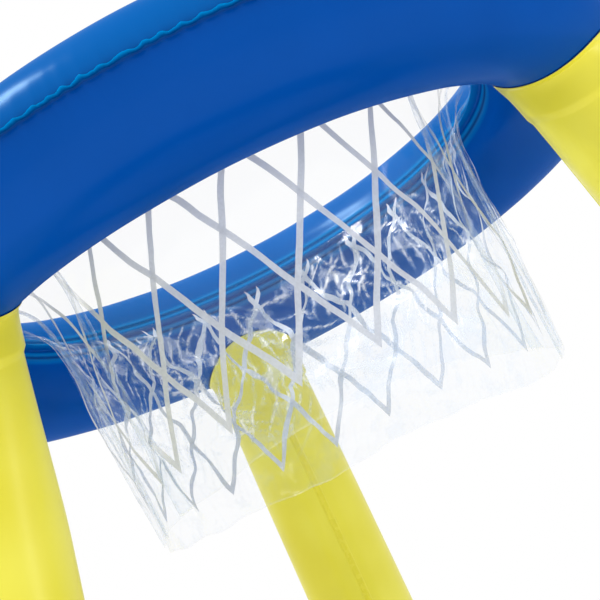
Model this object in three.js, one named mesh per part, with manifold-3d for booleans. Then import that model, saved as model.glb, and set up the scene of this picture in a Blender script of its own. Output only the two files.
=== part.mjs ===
// Inflatable floating basketball hoop: a blue ring with a clear film net, held up by three
// yellow tubular legs that are welded to a larger floating ring.
// Millimetres, +Z up. The origin is under the centre of the floating ring, on the surface it rests on.
// The front is -Y, and one leg stands at the rear, +Y.

import * as THREE from 'three';
import { mergeVertices } from 'three/addons/utils/BufferGeometryUtils.js';
import Module from 'manifold-3d';

// Whole product
const OVERALL_HEIGHT = 550;
const SEAM_CLEARANCE = 0.3;

// Hoop ring: the tube's centre line, its tube and its two welded seams
const HOOP_RING_RADIUS = 190;
const HOOP_TUBE_RADIUS = 38;
const HOOP_SEAM_RISE = 4;
const HOOP_INNER_FLANGE_WIDTH = 6;

// Floating base ring
const BASE_RING_RADIUS = 279;
const BASE_TUBE_RADIUS = 50;
const BASE_SEAM_RISE = 0;
const BASE_INNER_FLANGE_WIDTH = 3.5;

// Film panels that both rings are welded from
const PANEL_WALL = 1;
const OUTER_FLANGE_WIDTH = 3.5;
const RING_STEPS = 48;
const UPPER_PANEL_STEPS = 7;
const LOWER_PANEL_STEPS = 9;

// Legs: radii are measured on the film before it bends round the rings
const LEG_TOP_RADIUS = 31;
const LEG_FOOT_RADIUS = 34;
const LEG_WALL = 1;
const LEG_LIP_WIDTH = 7;
const LEG_WELD_CLEARANCE = 0.6;
const LEG_SIDES = 20;
const LEG_WELD_TILT = THREE.MathUtils.degToRad(5);
const LEG_BODY_SHARES = [0.1, 0.35, 0.65, 0.9];
const LEG_AZIMUTHS = {
  leg_rear: THREE.MathUtils.degToRad(90),
  leg_front_left: THREE.MathUtils.degToRad(210),
  leg_front_right: THREE.MathUtils.degToRad(330),
};

// Hole through which each leg shares the floating ring's air
const VENT_RADIUS = 8;

// Net film: a straight tube of film. Just below the hoop its sides draw in and its front and back
// don't, and it narrows from there to the hem. Insets are measured from the top of the film.
const NET_LENGTH = 144.6;
const NET_THICKNESS = 0.6;
const NET_SHOULDER_SIDE_INSET = 23.6;
const NET_SHOULDER_FRONT_INSET = 0.4;
const NET_HEM_SIDE_INSET = 34.2;
const NET_HEM_FRONT_INSET = 25.2;
const NET_DRAW_IN_LENGTH = 11;
const NET_SIDE_AZIMUTH = THREE.MathUtils.degToRad(-11.4);
const NET_TURN = THREE.MathUtils.degToRad(-7.5);

// Pleats of the film, deep at its sides and shallow at its front and back
const NET_PLEATS = 12;
const NET_PLEAT_DEPTH = 7;
const NET_PLEAT_BIAS_SHARE = 0.9;

// Printed lattice on the film
const LATTICE_DIAMONDS = 24;
const LATTICE_CROSSINGS = 3;
const LATTICE_FIRST_DEPTH = 14.6;
const LATTICE_HEM_MARGIN = 19;
const LATTICE_START_DEPTH = 2.8;
const LATTICE_LINE_WIDTH = 3;
const LATTICE_THICKNESS = 0.3;
const LATTICE_CLEARANCE = 0.5;

// Valves: heights are measured out from the tube's surface
const VALVE_FLANGE_RADIUS = 17;
const VALVE_FLANGE_THICKNESS = 1;
const VALVE_BORE_RADIUS = 12;
const VALVE_SEAT_CLEARANCE = 0.4;
const VALVE_SIDES = 16;
const VALVE_TILT = THREE.MathUtils.degToRad(60);
const HOOP_VALVE_AZIMUTH = THREE.MathUtils.degToRad(30);
const BASE_VALVE_AZIMUTH = THREE.MathUtils.degToRad(150);
const WEB_THICKNESS = 0.8;
const WEB_RISE = 2.6;
const STEM_RADIUS = 6;
const STEM_BORE_RADIUS = 4;
const STEM_HEIGHT = 14;
const STEM_DEPTH = 2;
const COLLAR_RADIUS = 8;
const COLLAR_THICKNESS = 2;
const COLLAR_BEVEL = 0.4;
const COLLAR_DROP = 4;
const FLAP_RADIUS = 5;
const FLAP_THICKNESS = 0.8;
const CAP_RADIUS = 7.5;
const CAP_THICKNESS = 1.6;
const CAP_BEVEL = 0.5;
const PLUG_CLEARANCE = 0.6;
const PLUG_LENGTH = 5;
const PLUG_TAPER = 1;
const STRAP_WIDTH = 4;
const STRAP_THICKNESS = 1;
const STRAP_FOOT_LENGTH = 1.7;

// Colours and finishes
const UPPER_VINYL = { color: 0x0a5cc4, roughness: 0.3 };
const LOWER_VINYL = { color: 0x0a55b4, roughness: 0.3 };
const LEG_VINYL = { color: 0xe4dc45, roughness: 0.35 };
const CLEAR_FILM = { color: 0xdfe6f2, roughness: 0.15 };
const WHITE_INK = { color: 0xf4f6f8, roughness: 0.5 };
const VALVE_VINYL = { color: 0xd9dfe6, roughness: 0.4 };
const FLAP_VINYL = { color: 0xe6e9ee, roughness: 0.35 };

const wasm = await Module();
wasm.setup();

const HOOP_RING = {
  radius: HOOP_RING_RADIUS,
  tube: HOOP_TUBE_RADIUS,
  centreZ: OVERALL_HEIGHT - HOOP_TUBE_RADIUS,
  seamRise: HOOP_SEAM_RISE,
  innerFlange: HOOP_INNER_FLANGE_WIDTH,
  innerHalfGap: NET_THICKNESS / 2 + SEAM_CLEARANCE,
};

const BASE_RING = {
  radius: BASE_RING_RADIUS,
  tube: BASE_TUBE_RADIUS,
  centreZ: flatFacetDepth(BASE_TUBE_RADIUS, BASE_SEAM_RISE - SEAM_CLEARANCE / 2 - PANEL_WALL),
  seamRise: BASE_SEAM_RISE,
  innerFlange: BASE_INNER_FLANGE_WIDTH,
  innerHalfGap: SEAM_CLEARANCE / 2,
};

/** Depth below the tube's centre of the level facet that the lower panel rests on. */
function flatFacetDepth(tube, skinRise) {
  const span = Math.PI + 2 * Math.asin(skinRise / tube);
  return tube * Math.cos(span / LOWER_PANEL_STEPS / 2);
}

/** A copy of the geometry with shared vertices merged and its faces pointing outwards. */
function closedBody(geometry) {
  const bare = geometry.clone();
  bare.deleteAttribute('normal');
  bare.deleteAttribute('uv');
  const body = mergeVertices(bare);
  if (signedVolume(body) < 0) {
    const index = body.index.array;
    for (let i = 0; i < index.length; i += 3) {
      [index[i], index[i + 1]] = [index[i + 1], index[i]];
    }
  }
  return body;
}

function signedVolume(geometry) {
  const points = geometry.attributes.position;
  const index = geometry.index.array;
  const [a, b, c] = [new THREE.Vector3(), new THREE.Vector3(), new THREE.Vector3()];
  let sum = 0;
  for (let i = 0; i < index.length; i += 3) {
    a.fromBufferAttribute(points, index[i]);
    b.fromBufferAttribute(points, index[i + 1]);
    c.fromBufferAttribute(points, index[i + 2]);
    sum += a.dot(b.cross(c));
  }
  return sum;
}

function toSolid(geometry) {
  const body = closedBody(geometry);
  return new wasm.Manifold(new wasm.Mesh({
    numProp: 3,
    vertProperties: Float32Array.from(body.attributes.position.array),
    triVerts: Uint32Array.from(body.index.array),
  }));
}

function toGeometry(solid) {
  const mesh = solid.getMesh();
  const geometry = new THREE.BufferGeometry();
  geometry.setAttribute('position', new THREE.BufferAttribute(mesh.vertProperties, mesh.numProp));
  geometry.setIndex(new THREE.BufferAttribute(mesh.triVerts, 1));
  return geometry;
}

/** Turns a closed profile of [radius, height] pairs round the Z axis. */
function revolve(profile, steps) {
  const points = profile.map(([radius, height]) => new THREE.Vector2(radius, height));
  if (profile[0][0] > 0 || profile.at(-1)[0] > 0) points.push(points[0].clone());
  return closedBody(new THREE.LatheGeometry(points, steps).rotateX(Math.PI / 2));
}

/** A point above the surface of a ring's tube. The tube angle is 0 outwards and grows upwards. */
function onTube(ring, azimuth, tubeAngle, lift) {
  const reach = ring.radius + (ring.tube + lift) * Math.cos(tubeAngle);
  const height = ring.centreZ + (ring.tube + lift) * Math.sin(tubeAngle);
  return new THREE.Vector3(reach * Math.cos(azimuth), reach * Math.sin(azimuth), height);
}

/** The same, at a distance measured on the film round the tube and along the ring. */
function onFilm(ring, centre, round, along, lift) {
  const tubeAngle = centre.tubeAngle + round / ring.tube;
  const reach = ring.radius + ring.tube * Math.cos(tubeAngle);
  return onTube(ring, centre.azimuth + along / reach, tubeAngle, lift);
}

/** Points of [radius, height] on an arc of a ring's tube. */
function tubeArc(ring, radius, start, end, steps) {
  const points = [];
  for (let i = 0; i <= steps; i += 1) {
    const angle = start + (end - start) * i / steps;
    points.push([ring.radius + radius * Math.cos(angle), ring.centreZ + radius * Math.sin(angle)]);
  }
  return points;
}

/** Profile of one film panel: side is 1 for the upper panel and -1 for the lower. */
function panelProfile(ring, side, steps) {
  const outerMate = ring.seamRise + side * SEAM_CLEARANCE / 2;
  const innerMate = ring.seamRise + side * ring.innerHalfGap;
  const outerSkin = outerMate + side * PANEL_WALL;
  const innerSkin = innerMate + side * PANEL_WALL;
  const inside = ring.tube - PANEL_WALL;
  const farAngle = side * Math.PI;
  const skin = tubeArc(ring, ring.tube,
    Math.asin(outerSkin / ring.tube), farAngle - Math.asin(innerSkin / ring.tube), steps);
  const lining = tubeArc(ring, inside,
    Math.asin(outerMate / inside), farAngle - Math.asin(innerMate / inside), steps);
  const outerEnd = skin[0][0] + OUTER_FLANGE_WIDTH;
  const innerEnd = skin.at(-1)[0] - ring.innerFlange;
  return [
    [outerEnd, ring.centreZ + outerMate],
    [outerEnd, ring.centreZ + outerSkin],
    ...skin,
    [innerEnd, ring.centreZ + innerSkin],
    [innerEnd, ring.centreZ + innerMate],
    ...lining.reverse(),
  ];
}

function lowerPanel(ring) {
  return revolve(panelProfile(ring, -1, LOWER_PANEL_STEPS), RING_STEPS);
}

/** The upper panel, pierced by each hole given as { radius, azimuth, tubeAngle }. */
function upperPanel(ring, holes) {
  let solid = toSolid(revolve(panelProfile(ring, 1, UPPER_PANEL_STEPS), RING_STEPS));
  for (const hole of holes) {
    const drill = new THREE.CylinderGeometry(hole.radius, hole.radius, ring.tube, VALVE_SIDES);
    drill.rotateX(Math.PI / 2).applyMatrix4(tubeFrame(ring, hole.azimuth, hole.tubeAngle));
    solid = solid.subtract(toSolid(drill));
  }
  return toGeometry(solid);
}

/** Frame on the tube's surface: Z points out, X down the tube's side and Y along the ring. */
function tubeFrame(ring, azimuth, tubeAngle) {
  const along = new THREE.Vector3(-Math.sin(azimuth), Math.cos(azimuth), 0);
  const origin = onTube(ring, azimuth, tubeAngle, 0);
  const out = onTube(ring, azimuth, tubeAngle, ring.tube).sub(origin).normalize();
  const down = along.clone().cross(out);
  return new THREE.Matrix4().makeBasis(down, along, out).setPosition(origin);
}

/** Unit normals of a grid of rows whose columns close on themselves. */
function gridNormals(grid) {
  return grid.map((row, j) => row.map((_, i) => {
    const across = row[(i + 1) % row.length].clone().sub(row.at(i - 1));
    const above = grid[Math.max(j - 1, 0)][i];
    const below = grid[Math.min(j + 1, grid.length - 1)][i];
    return below.clone().sub(above).cross(across).normalize();
  }));
}

function offsetGrid(grid, distance) {
  const normals = gridNormals(grid);
  return grid.map((row, j) => row.map((point, i) => (
    point.clone().addScaledVector(normals[j][i], distance))));
}

/** True where the crease of a grid cell runs from its lower left to its upper right corner. */
function leansRight(column, row) {
  return (column + row) % 2 !== 0;
}

/** Triangles of the outside of a grid, as indices counted along its rows. */
function gridTriangles(columns, rows) {
  const triangles = [];
  for (let row = 0; row < rows - 1; row += 1) {
    for (let column = 0; column < columns; column += 1) {
      const next = (column + 1) % columns;
      const [a, b] = [row * columns + column, row * columns + next];
      const [d, c] = [a + columns, b + columns];
      if (leansRight(column, row)) triangles.push([a, d, b], [b, d, c]);
      else triangles.push([a, d, c], [a, c, b]);
    }
  }
  return triangles;
}

/** A thin solid between an outer and an inner layer of points that share their triangles. */
function sheetBody(outer, inner, triangles) {
  const count = outer.length;
  const index = [];
  const rim = new Map();
  for (const [a, b, c] of triangles) {
    index.push(a, b, c, count + a, count + c, count + b);
    for (const [from, to] of [[a, b], [b, c], [c, a]]) {
      if (!rim.delete(`${to}-${from}`)) rim.set(`${from}-${to}`, [from, to]);
    }
  }
  for (const [from, to] of rim.values()) {
    index.push(to, from, count + from, to, count + from, count + to);
  }
  const geometry = new THREE.BufferGeometry().setFromPoints([...outer, ...inner]);
  geometry.setIndex(index);
  return closedBody(geometry);
}

function gridBody(grid, thickness) {
  const outer = offsetGrid(grid, thickness / 2).flat();
  const inner = offsetGrid(grid, -thickness / 2).flat();
  return sheetBody(outer, inner, gridTriangles(grid[0].length, grid.length));
}

/** Where the film of a leg meets a ring, at a distance out from the weld's centre. */
function weldLoop(ring, centre, outwards, radius) {
  const lift = LEG_WELD_CLEARANCE + LEG_WALL / 2;
  const loop = [];
  for (let i = 0; i < LEG_SIDES; i += 1) {
    const turn = 2 * Math.PI * i / LEG_SIDES;
    loop.push(onFilm(ring, centre, outwards * radius * Math.cos(turn), radius * Math.sin(turn), lift));
  }
  return loop;
}

const HOOP_WELD = { azimuth: 0, tubeAngle: -Math.PI / 2 - LEG_WELD_TILT };
const BASE_WELD = { azimuth: 0, tubeAngle: Math.PI / 2 };

/** One leg, standing at azimuth 0: lip, weld, tube, weld, lip from the hoop down to the base. */
function legBody() {
  const top = onFilm(HOOP_RING, HOOP_WELD, 0, 0, 0);
  const foot = onFilm(BASE_RING, BASE_WELD, 0, 0, 0);
  const axis = foot.clone().sub(top).normalize();
  const side = new THREE.Vector3(0, 1, 0);
  const out = axis.clone().cross(side);
  const tube = LEG_BODY_SHARES.map((share) => {
    const centre = top.clone().lerp(foot, share);
    const radius = THREE.MathUtils.lerp(LEG_TOP_RADIUS, LEG_FOOT_RADIUS, share);
    return Array.from({ length: LEG_SIDES }, (_, i) => {
      const turn = 2 * Math.PI * i / LEG_SIDES;
      return centre.clone()
        .addScaledVector(out, radius * Math.cos(turn))
        .addScaledVector(side, radius * Math.sin(turn));
    });
  });
  return gridBody([
    weldLoop(HOOP_RING, HOOP_WELD, 1, LEG_TOP_RADIUS + LEG_LIP_WIDTH),
    weldLoop(HOOP_RING, HOOP_WELD, 1, LEG_TOP_RADIUS),
    ...tube,
    weldLoop(BASE_RING, BASE_WELD, -1, LEG_FOOT_RADIUS),
    weldLoop(BASE_RING, BASE_WELD, -1, LEG_FOOT_RADIUS + LEG_LIP_WIDTH),
  ], LEG_WALL);
}

const NET_COLUMNS = 2 * LATTICE_DIAMONDS;
const LATTICE_ROW_HEIGHT = (NET_LENGTH - LATTICE_FIRST_DEPTH - LATTICE_HEM_MARGIN) / LATTICE_CROSSINGS;
const FLANGE_ROOT = Math.sqrt(HOOP_TUBE_RADIUS ** 2
  - (HOOP_SEAM_RISE - HOOP_RING.innerHalfGap - PANEL_WALL) ** 2);
const NET_HEM_EDGE_RADIUS = HOOP_RING_RADIUS - FLANGE_ROOT - SEAM_CLEARANCE;
const NET_TOP_RADIUS = HOOP_RING_RADIUS - FLANGE_ROOT - HOOP_INNER_FLANGE_WIDTH
  - SEAM_CLEARANCE - NET_THICKNESS;

/** Depths below the seam of the film's rows: the weld hem, the turn, each lattice row, the hem. */
function netDepths() {
  const depths = [0, 0];
  for (let row = 0; row <= LATTICE_CROSSINGS; row += 1) {
    depths.push(LATTICE_FIRST_DEPTH + row * LATTICE_ROW_HEIGHT);
  }
  return [...depths, NET_LENGTH];
}

/** How far the film stands in from its top, without its pleats. */
function netInset(azimuth, depth) {
  const sideShare = Math.cos(azimuth - NET_SIDE_AZIMUTH) ** 2;
  const shoulder = THREE.MathUtils.lerp(NET_SHOULDER_FRONT_INSET, NET_SHOULDER_SIDE_INSET, sideShare);
  const hem = THREE.MathUtils.lerp(NET_HEM_FRONT_INSET, NET_HEM_SIDE_INSET, sideShare);
  const drawn = 1 - Math.exp(-depth / NET_DRAW_IN_LENGTH);
  return shoulder * drawn + (hem - shoulder) * depth / NET_LENGTH;
}

/** The film's middle surface, from the hem held in the hoop's inner seam to the free edge. */
function netGrid() {
  const seamZ = HOOP_RING.centreZ + HOOP_SEAM_RISE;
  return netDepths().map((depth, row) => (
    Array.from({ length: NET_COLUMNS }, (_, column) => {
      const along = 2 * Math.PI * column / NET_COLUMNS;
      const azimuth = along + NET_TURN;
      const bias = 1 + NET_PLEAT_BIAS_SHARE * Math.cos(2 * (azimuth - NET_SIDE_AZIMUTH));
      const pleat = NET_PLEAT_DEPTH * bias * Math.cos(NET_PLEATS * along) * depth / NET_LENGTH;
      const hung = NET_TOP_RADIUS - netInset(azimuth, depth) + pleat;
      const reach = row === 0 ? NET_HEM_EDGE_RADIUS : hung;
      return new THREE.Vector3(reach * Math.cos(azimuth), reach * Math.sin(azimuth), seamZ - depth);
    })));
}

/** A point on the folded grid at u columns and v rows. */
function onGrid(grid, u, v) {
  const columns = grid[0].length;
  const row = Math.min(Math.floor(v), grid.length - 2);
  const column = Math.floor(u);
  const [x, y] = [u - column, v - row];
  const at = (i, j) => grid[row + j][(column + i + columns) % columns];
  const [a, b, c, d] = [at(0, 0), at(1, 0), at(1, 1), at(0, 1)];
  const mix = (corner, first, firstShare, second, secondShare) => corner.clone()
    .addScaledVector(first.clone().sub(corner), firstShare)
    .addScaledVector(second.clone().sub(corner), secondShare);
  if (leansRight(column + columns, row)) {
    return x + y <= 1 ? mix(a, b, x, d, y) : mix(c, d, 1 - x, b, 1 - y);
  }
  return y >= x ? mix(d, a, 1 - y, c, x) : mix(b, a, 1 - x, c, y);
}

/** The lattice's outline on the flat film, in columns and depth, with its triangles. */
function latticePattern() {
  const slope = Math.atan2(Math.PI * NET_TOP_RADIUS / LATTICE_DIAMONDS, LATTICE_ROW_HEIGHT);
  const halfColumn = LATTICE_LINE_WIDTH / 2 / Math.cos(slope)
    / (2 * Math.PI * NET_TOP_RADIUS / NET_COLUMNS);
  const halfDepth = LATTICE_LINE_WIDTH / 2 / Math.sin(slope);
  const points = [];
  const triangles = [];
  const add = (u, depth) => points.push([u, depth]) - 1;
  const knots = new Map();
  const knot = (column, row) => {
    const wrapped = (column + NET_COLUMNS) % NET_COLUMNS;
    const key = `${wrapped}-${row}`;
    if (!knots.has(key)) {
      const depth = LATTICE_FIRST_DEPTH + row * LATTICE_ROW_HEIGHT;
      const corners = {
        left: add(wrapped - halfColumn, depth),
        right: add(wrapped + halfColumn, depth),
        top: add(wrapped, depth - halfDepth),
        bottom: add(wrapped, depth + halfDepth),
      };
      triangles.push([corners.left, corners.bottom, corners.top]);
      triangles.push([corners.right, corners.top, corners.bottom]);
      knots.set(key, corners);
    }
    return knots.get(key);
  };
  for (let row = 0; row <= LATTICE_CROSSINGS; row += 1) {
    for (let column = row % 2; column < NET_COLUMNS; column += 2) {
      const here = knot(column, row);
      if (row === 0) addLatticeEnds(column, here, halfColumn, add, triangles);
      if (row < LATTICE_CROSSINGS) {
        const right = knot(column + 1, row + 1);
        const left = knot(column - 1, row + 1);
        triangles.push([here.right, here.bottom, right.left], [here.right, right.left, right.top]);
        triangles.push([here.left, left.top, left.right], [here.left, left.right, here.bottom]);
      }
    }
  }
  return { points, triangles };
}

/** The two short lines that rise from a knot of the first row to the hoop. */
function addLatticeEnds(column, here, halfColumn, add, triangles) {
  const lean = (LATTICE_FIRST_DEPTH - LATTICE_START_DEPTH) / LATTICE_ROW_HEIGHT;
  for (const way of [1, -1]) {
    const left = add(column + way * lean - halfColumn, LATTICE_START_DEPTH);
    const right = add(column + way * lean + halfColumn, LATTICE_START_DEPTH);
    const [low, high] = way > 0 ? [here.top, here.right] : [here.left, here.top];
    triangles.push([left, low, high], [left, high, right]);
  }
}

/** Rows of the grid at a depth, counted in shares of a row. */
function rowAtDepth(depth) {
  const depths = netDepths();
  const row = depths.findLastIndex((start, i) => i < depths.length - 1 && start <= depth);
  return row + (depth - depths[row]) / (depths[row + 1] - depths[row]);
}

function latticeBody(grid) {
  const { points, triangles } = latticePattern();
  const low = NET_THICKNESS / 2 + LATTICE_CLEARANCE;
  const layer = (distance) => {
    const surface = offsetGrid(grid, distance);
    return points.map(([u, depth]) => onGrid(surface, u, rowAtDepth(depth)));
  };
  return sheetBody(layer(low + LATTICE_THICKNESS), layer(low), triangles);
}

/** The weld flange of a valve: a flat ring of film that follows the tube's surface. */
function valveFlange(ring, azimuth) {
  const centre = { azimuth, tubeAngle: VALVE_TILT };
  const lift = VALVE_SEAT_CLEARANCE + VALVE_FLANGE_THICKNESS / 2;
  const loop = (radius) => Array.from({ length: VALVE_SIDES }, (_, i) => {
    const turn = 2 * Math.PI * i / VALVE_SIDES;
    return onFilm(ring, centre, -radius * Math.cos(turn), radius * Math.sin(turn), lift);
  });
  return gridBody([loop(VALVE_BORE_RADIUS), loop(VALVE_FLANGE_RADIUS)], VALVE_FLANGE_THICKNESS);
}

/** The thin cone that lets the stem be pushed in until it is flush. */
function valveWeb() {
  const rim = VALVE_BORE_RADIUS - VALVE_SEAT_CLEARANCE;
  const neck = STEM_RADIUS + SEAM_CLEARANCE;
  return revolve([
    [rim, -WEB_THICKNESS / 2],
    [rim, WEB_THICKNESS / 2],
    [neck, WEB_THICKNESS / 2 + WEB_RISE],
    [neck, -WEB_THICKNESS / 2 + WEB_RISE],
  ], VALVE_SIDES);
}

function valveStem() {
  const collarTop = STEM_HEIGHT - COLLAR_DROP + COLLAR_THICKNESS / 2;
  const collarFoot = collarTop - COLLAR_THICKNESS;
  return revolve([
    [STEM_BORE_RADIUS, -STEM_DEPTH],
    [STEM_RADIUS, -STEM_DEPTH],
    [STEM_RADIUS, collarFoot],
    [COLLAR_RADIUS, collarFoot + COLLAR_BEVEL],
    [COLLAR_RADIUS, collarTop - COLLAR_BEVEL],
    [STEM_RADIUS, collarTop],
    [STEM_RADIUS, STEM_HEIGHT],
    [STEM_BORE_RADIUS, STEM_HEIGHT],
  ], VALVE_SIDES);
}

/** The non-return flap, just under the foot of the stem. */
function valveFlap() {
  const top = -STEM_DEPTH - SEAM_CLEARANCE;
  return revolve([
    [0, top - FLAP_THICKNESS],
    [FLAP_RADIUS, top - FLAP_THICKNESS],
    [FLAP_RADIUS, top],
    [0, top],
  ], VALVE_SIDES);
}

/** The cap, with the tapered plug that fills the stem's bore. */
function valveCap() {
  const foot = STEM_HEIGHT + SEAM_CLEARANCE;
  const plug = STEM_BORE_RADIUS - PLUG_CLEARANCE;
  return revolve([
    [0, foot - PLUG_LENGTH],
    [plug - PLUG_TAPER, foot - PLUG_LENGTH],
    [plug, foot - PLUG_TAPER],
    [plug, foot],
    [CAP_RADIUS, foot],
    [CAP_RADIUS, foot + CAP_THICKNESS - CAP_BEVEL],
    [CAP_RADIUS - CAP_BEVEL, foot + CAP_THICKNESS],
    [0, foot + CAP_THICKNESS],
  ], VALVE_SIDES);
}

/** The strap from the stem's collar up and over to the cap's edge, seen from the side. */
function valveStrap() {
  const low = STEM_HEIGHT - COLLAR_DROP - STRAP_THICKNESS / 2;
  const high = STEM_HEIGHT + SEAM_CLEARANCE + STRAP_THICKNESS;
  const root = COLLAR_RADIUS + SEAM_CLEARANCE;
  const tip = CAP_RADIUS + SEAM_CLEARANCE;
  const back = root + STRAP_FOOT_LENGTH + STRAP_THICKNESS / 2;
  const front = back - STRAP_THICKNESS;
  const side = new THREE.Shape([
    new THREE.Vector2(root, low),
    new THREE.Vector2(back, low),
    new THREE.Vector2(back, high),
    new THREE.Vector2(tip, high),
    new THREE.Vector2(tip, high - STRAP_THICKNESS),
    new THREE.Vector2(front, high - STRAP_THICKNESS),
    new THREE.Vector2(front, low + STRAP_THICKNESS),
    new THREE.Vector2(root, low + STRAP_THICKNESS),
  ]);
  const strap = new THREE.ExtrudeGeometry(side, { depth: STRAP_WIDTH, bevelEnabled: false });
  strap.translate(0, 0, -STRAP_WIDTH / 2).rotateX(Math.PI / 2);
  return closedBody(strap);
}

function piece(name, geometry, look) {
  const mesh = new THREE.Mesh(geometry, new THREE.MeshStandardMaterial({ ...look, metalness: 0 }));
  mesh.name = name;
  return mesh;
}

/** All the pieces of one valve; the flange is already in place on its ring. */
function valve(name, ring, azimuth) {
  const group = new THREE.Group();
  const seat = new THREE.Group();
  tubeFrame(ring, azimuth, VALVE_TILT).decompose(seat.position, seat.quaternion, seat.scale);
  seat.add(
    piece(`${name}_web`, valveWeb(), VALVE_VINYL),
    piece(`${name}_stem`, valveStem(), VALVE_VINYL),
    piece(`${name}_cap`, valveCap(), VALVE_VINYL),
    piece(`${name}_strap`, valveStrap(), VALVE_VINYL),
    piece(`${name}_flap`, valveFlap(), FLAP_VINYL),
  );
  group.add(piece(`${name}_flange`, valveFlange(ring, azimuth), VALVE_VINYL), seat);
  return group;
}

function hoopRing() {
  const group = new THREE.Group();
  const valveHole = { radius: VALVE_BORE_RADIUS, azimuth: HOOP_VALVE_AZIMUTH, tubeAngle: VALVE_TILT };
  group.add(
    piece('hoop_upper_panel', upperPanel(HOOP_RING, [valveHole]), UPPER_VINYL),
    piece('hoop_lower_panel', lowerPanel(HOOP_RING), LOWER_VINYL),
    valve('hoop_valve', HOOP_RING, HOOP_VALVE_AZIMUTH),
  );
  return group;
}

function baseRing() {
  const group = new THREE.Group();
  const holes = Object.values(LEG_AZIMUTHS).map((azimuth) => ({
    radius: VENT_RADIUS, azimuth, tubeAngle: BASE_WELD.tubeAngle,
  }));
  holes.push({ radius: VALVE_BORE_RADIUS, azimuth: BASE_VALVE_AZIMUTH, tubeAngle: VALVE_TILT });
  group.add(
    piece('base_upper_panel', upperPanel(BASE_RING, holes), UPPER_VINYL),
    piece('base_lower_panel', lowerPanel(BASE_RING), LOWER_VINYL),
    valve('base_valve', BASE_RING, BASE_VALVE_AZIMUTH),
  );
  return group;
}

function legs() {
  const group = new THREE.Group();
  for (const [name, azimuth] of Object.entries(LEG_AZIMUTHS)) {
    const leg = piece(name, legBody(), LEG_VINYL);
    leg.rotation.z = azimuth;
    group.add(leg);
  }
  return group;
}

function net() {
  const group = new THREE.Group();
  const grid = netGrid();
  group.add(
    piece('net_film', gridBody(grid, NET_THICKNESS), CLEAR_FILM),
    piece('net_printed_lattice', latticeBody(grid), WHITE_INK),
  );
  return group;
}

const hoop = new THREE.Group();
hoop.add(hoopRing(), net(), legs(), baseRing());

export default hoop;
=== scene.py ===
"""An inflatable floating basketball hoop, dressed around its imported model.

A blue vinyl ring holds a clear printed film net. Three yellow legs join it to a larger floating
ring, and each ring has a push-in air valve. Everything is in metres, +Z up, in the model's frame.
"""

import logging
import math
from dataclasses import dataclass
from enum import Enum
from typing import Any, Sequence

import bmesh
import bpy
import numpy as np
from mathutils import Matrix, Vector

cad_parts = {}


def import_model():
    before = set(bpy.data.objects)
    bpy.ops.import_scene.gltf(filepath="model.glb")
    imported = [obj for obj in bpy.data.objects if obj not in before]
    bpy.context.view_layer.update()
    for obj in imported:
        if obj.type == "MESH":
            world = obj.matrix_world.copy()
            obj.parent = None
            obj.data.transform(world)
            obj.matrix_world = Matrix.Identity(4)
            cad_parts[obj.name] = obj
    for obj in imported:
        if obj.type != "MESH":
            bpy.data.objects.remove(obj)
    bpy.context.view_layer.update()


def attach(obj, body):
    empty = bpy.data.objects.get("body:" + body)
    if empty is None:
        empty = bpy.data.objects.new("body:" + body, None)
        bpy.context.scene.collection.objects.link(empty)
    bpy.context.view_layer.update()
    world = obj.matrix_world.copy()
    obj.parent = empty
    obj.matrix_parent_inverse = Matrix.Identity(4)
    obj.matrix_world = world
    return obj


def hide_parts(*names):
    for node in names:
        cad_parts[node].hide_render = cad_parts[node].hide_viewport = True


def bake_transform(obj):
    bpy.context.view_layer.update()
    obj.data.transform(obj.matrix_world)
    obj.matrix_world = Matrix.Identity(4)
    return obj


LOG = logging.getLogger("hoop")
MM = 0.001
RGB = tuple[float, float, float]
SAME_PLACE = 1e-6
SOFT_EDGES = (0.3, 0.7)


def dimmed(color: RGB, share: float) -> RGB:
    """A colour scaled by a share."""
    return tuple(part * share for part in color)


class Wire:
    """A socket that adds Math nodes to its graph when it is used in an expression."""

    def __init__(self, graph: "Graph", socket: bpy.types.NodeSocket) -> None:
        """Holds a socket.

        Args:
            graph: The graph that the socket's node is in.
            socket: An output socket.
        """
        self.graph = graph
        self.socket = socket

    def math(self, operation: str, *others: "Wire | float") -> "Wire":
        """Adds one Math node.

        Args:
            operation: The node's operation.
            others: The values after this one.

        Returns:
            The result.
        """
        return self.graph.math(operation, self, *others)

    def __add__(self, other: "Wire | float") -> "Wire":
        """Adds."""
        return self.math("ADD", other)

    __radd__ = __add__

    def __sub__(self, other: "Wire | float") -> "Wire":
        """Subtracts."""
        return self.math("SUBTRACT", other)

    def __rsub__(self, other: "Wire | float") -> "Wire":
        """Subtracts this from a number."""
        return self.graph.math("SUBTRACT", other, self)

    def __mul__(self, other: "Wire | float") -> "Wire":
        """Multiplies."""
        return self.math("MULTIPLY", other)

    __rmul__ = __mul__

    def __truediv__(self, other: "Wire | float") -> "Wire":
        """Divides."""
        return self.math("DIVIDE", other)

    def __neg__(self) -> "Wire":
        """Changes the sign."""
        return self.math("MULTIPLY", -1.0)

    def __pow__(self, other: "Wire | float") -> "Wire":
        """Raises to a power."""
        return self.math("POWER", other)

    def clamped(self) -> "Wire":
        """Limits to the range from 0 to 1."""
        return self.math("MINIMUM", 1.0).math("MAXIMUM", 0.0)

    def stepped(self, low: float, high: float) -> "Wire":
        """Rises smoothly from 0 at low to 1 at high.

        Args:
            low: Where it starts.
            high: Where it ends.

        Returns:
            The share, from 0 to 1.
        """
        share = ((self - low) * (1 / (high - low))).clamped()
        return share * share * (3.0 - share * 2.0)


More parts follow.
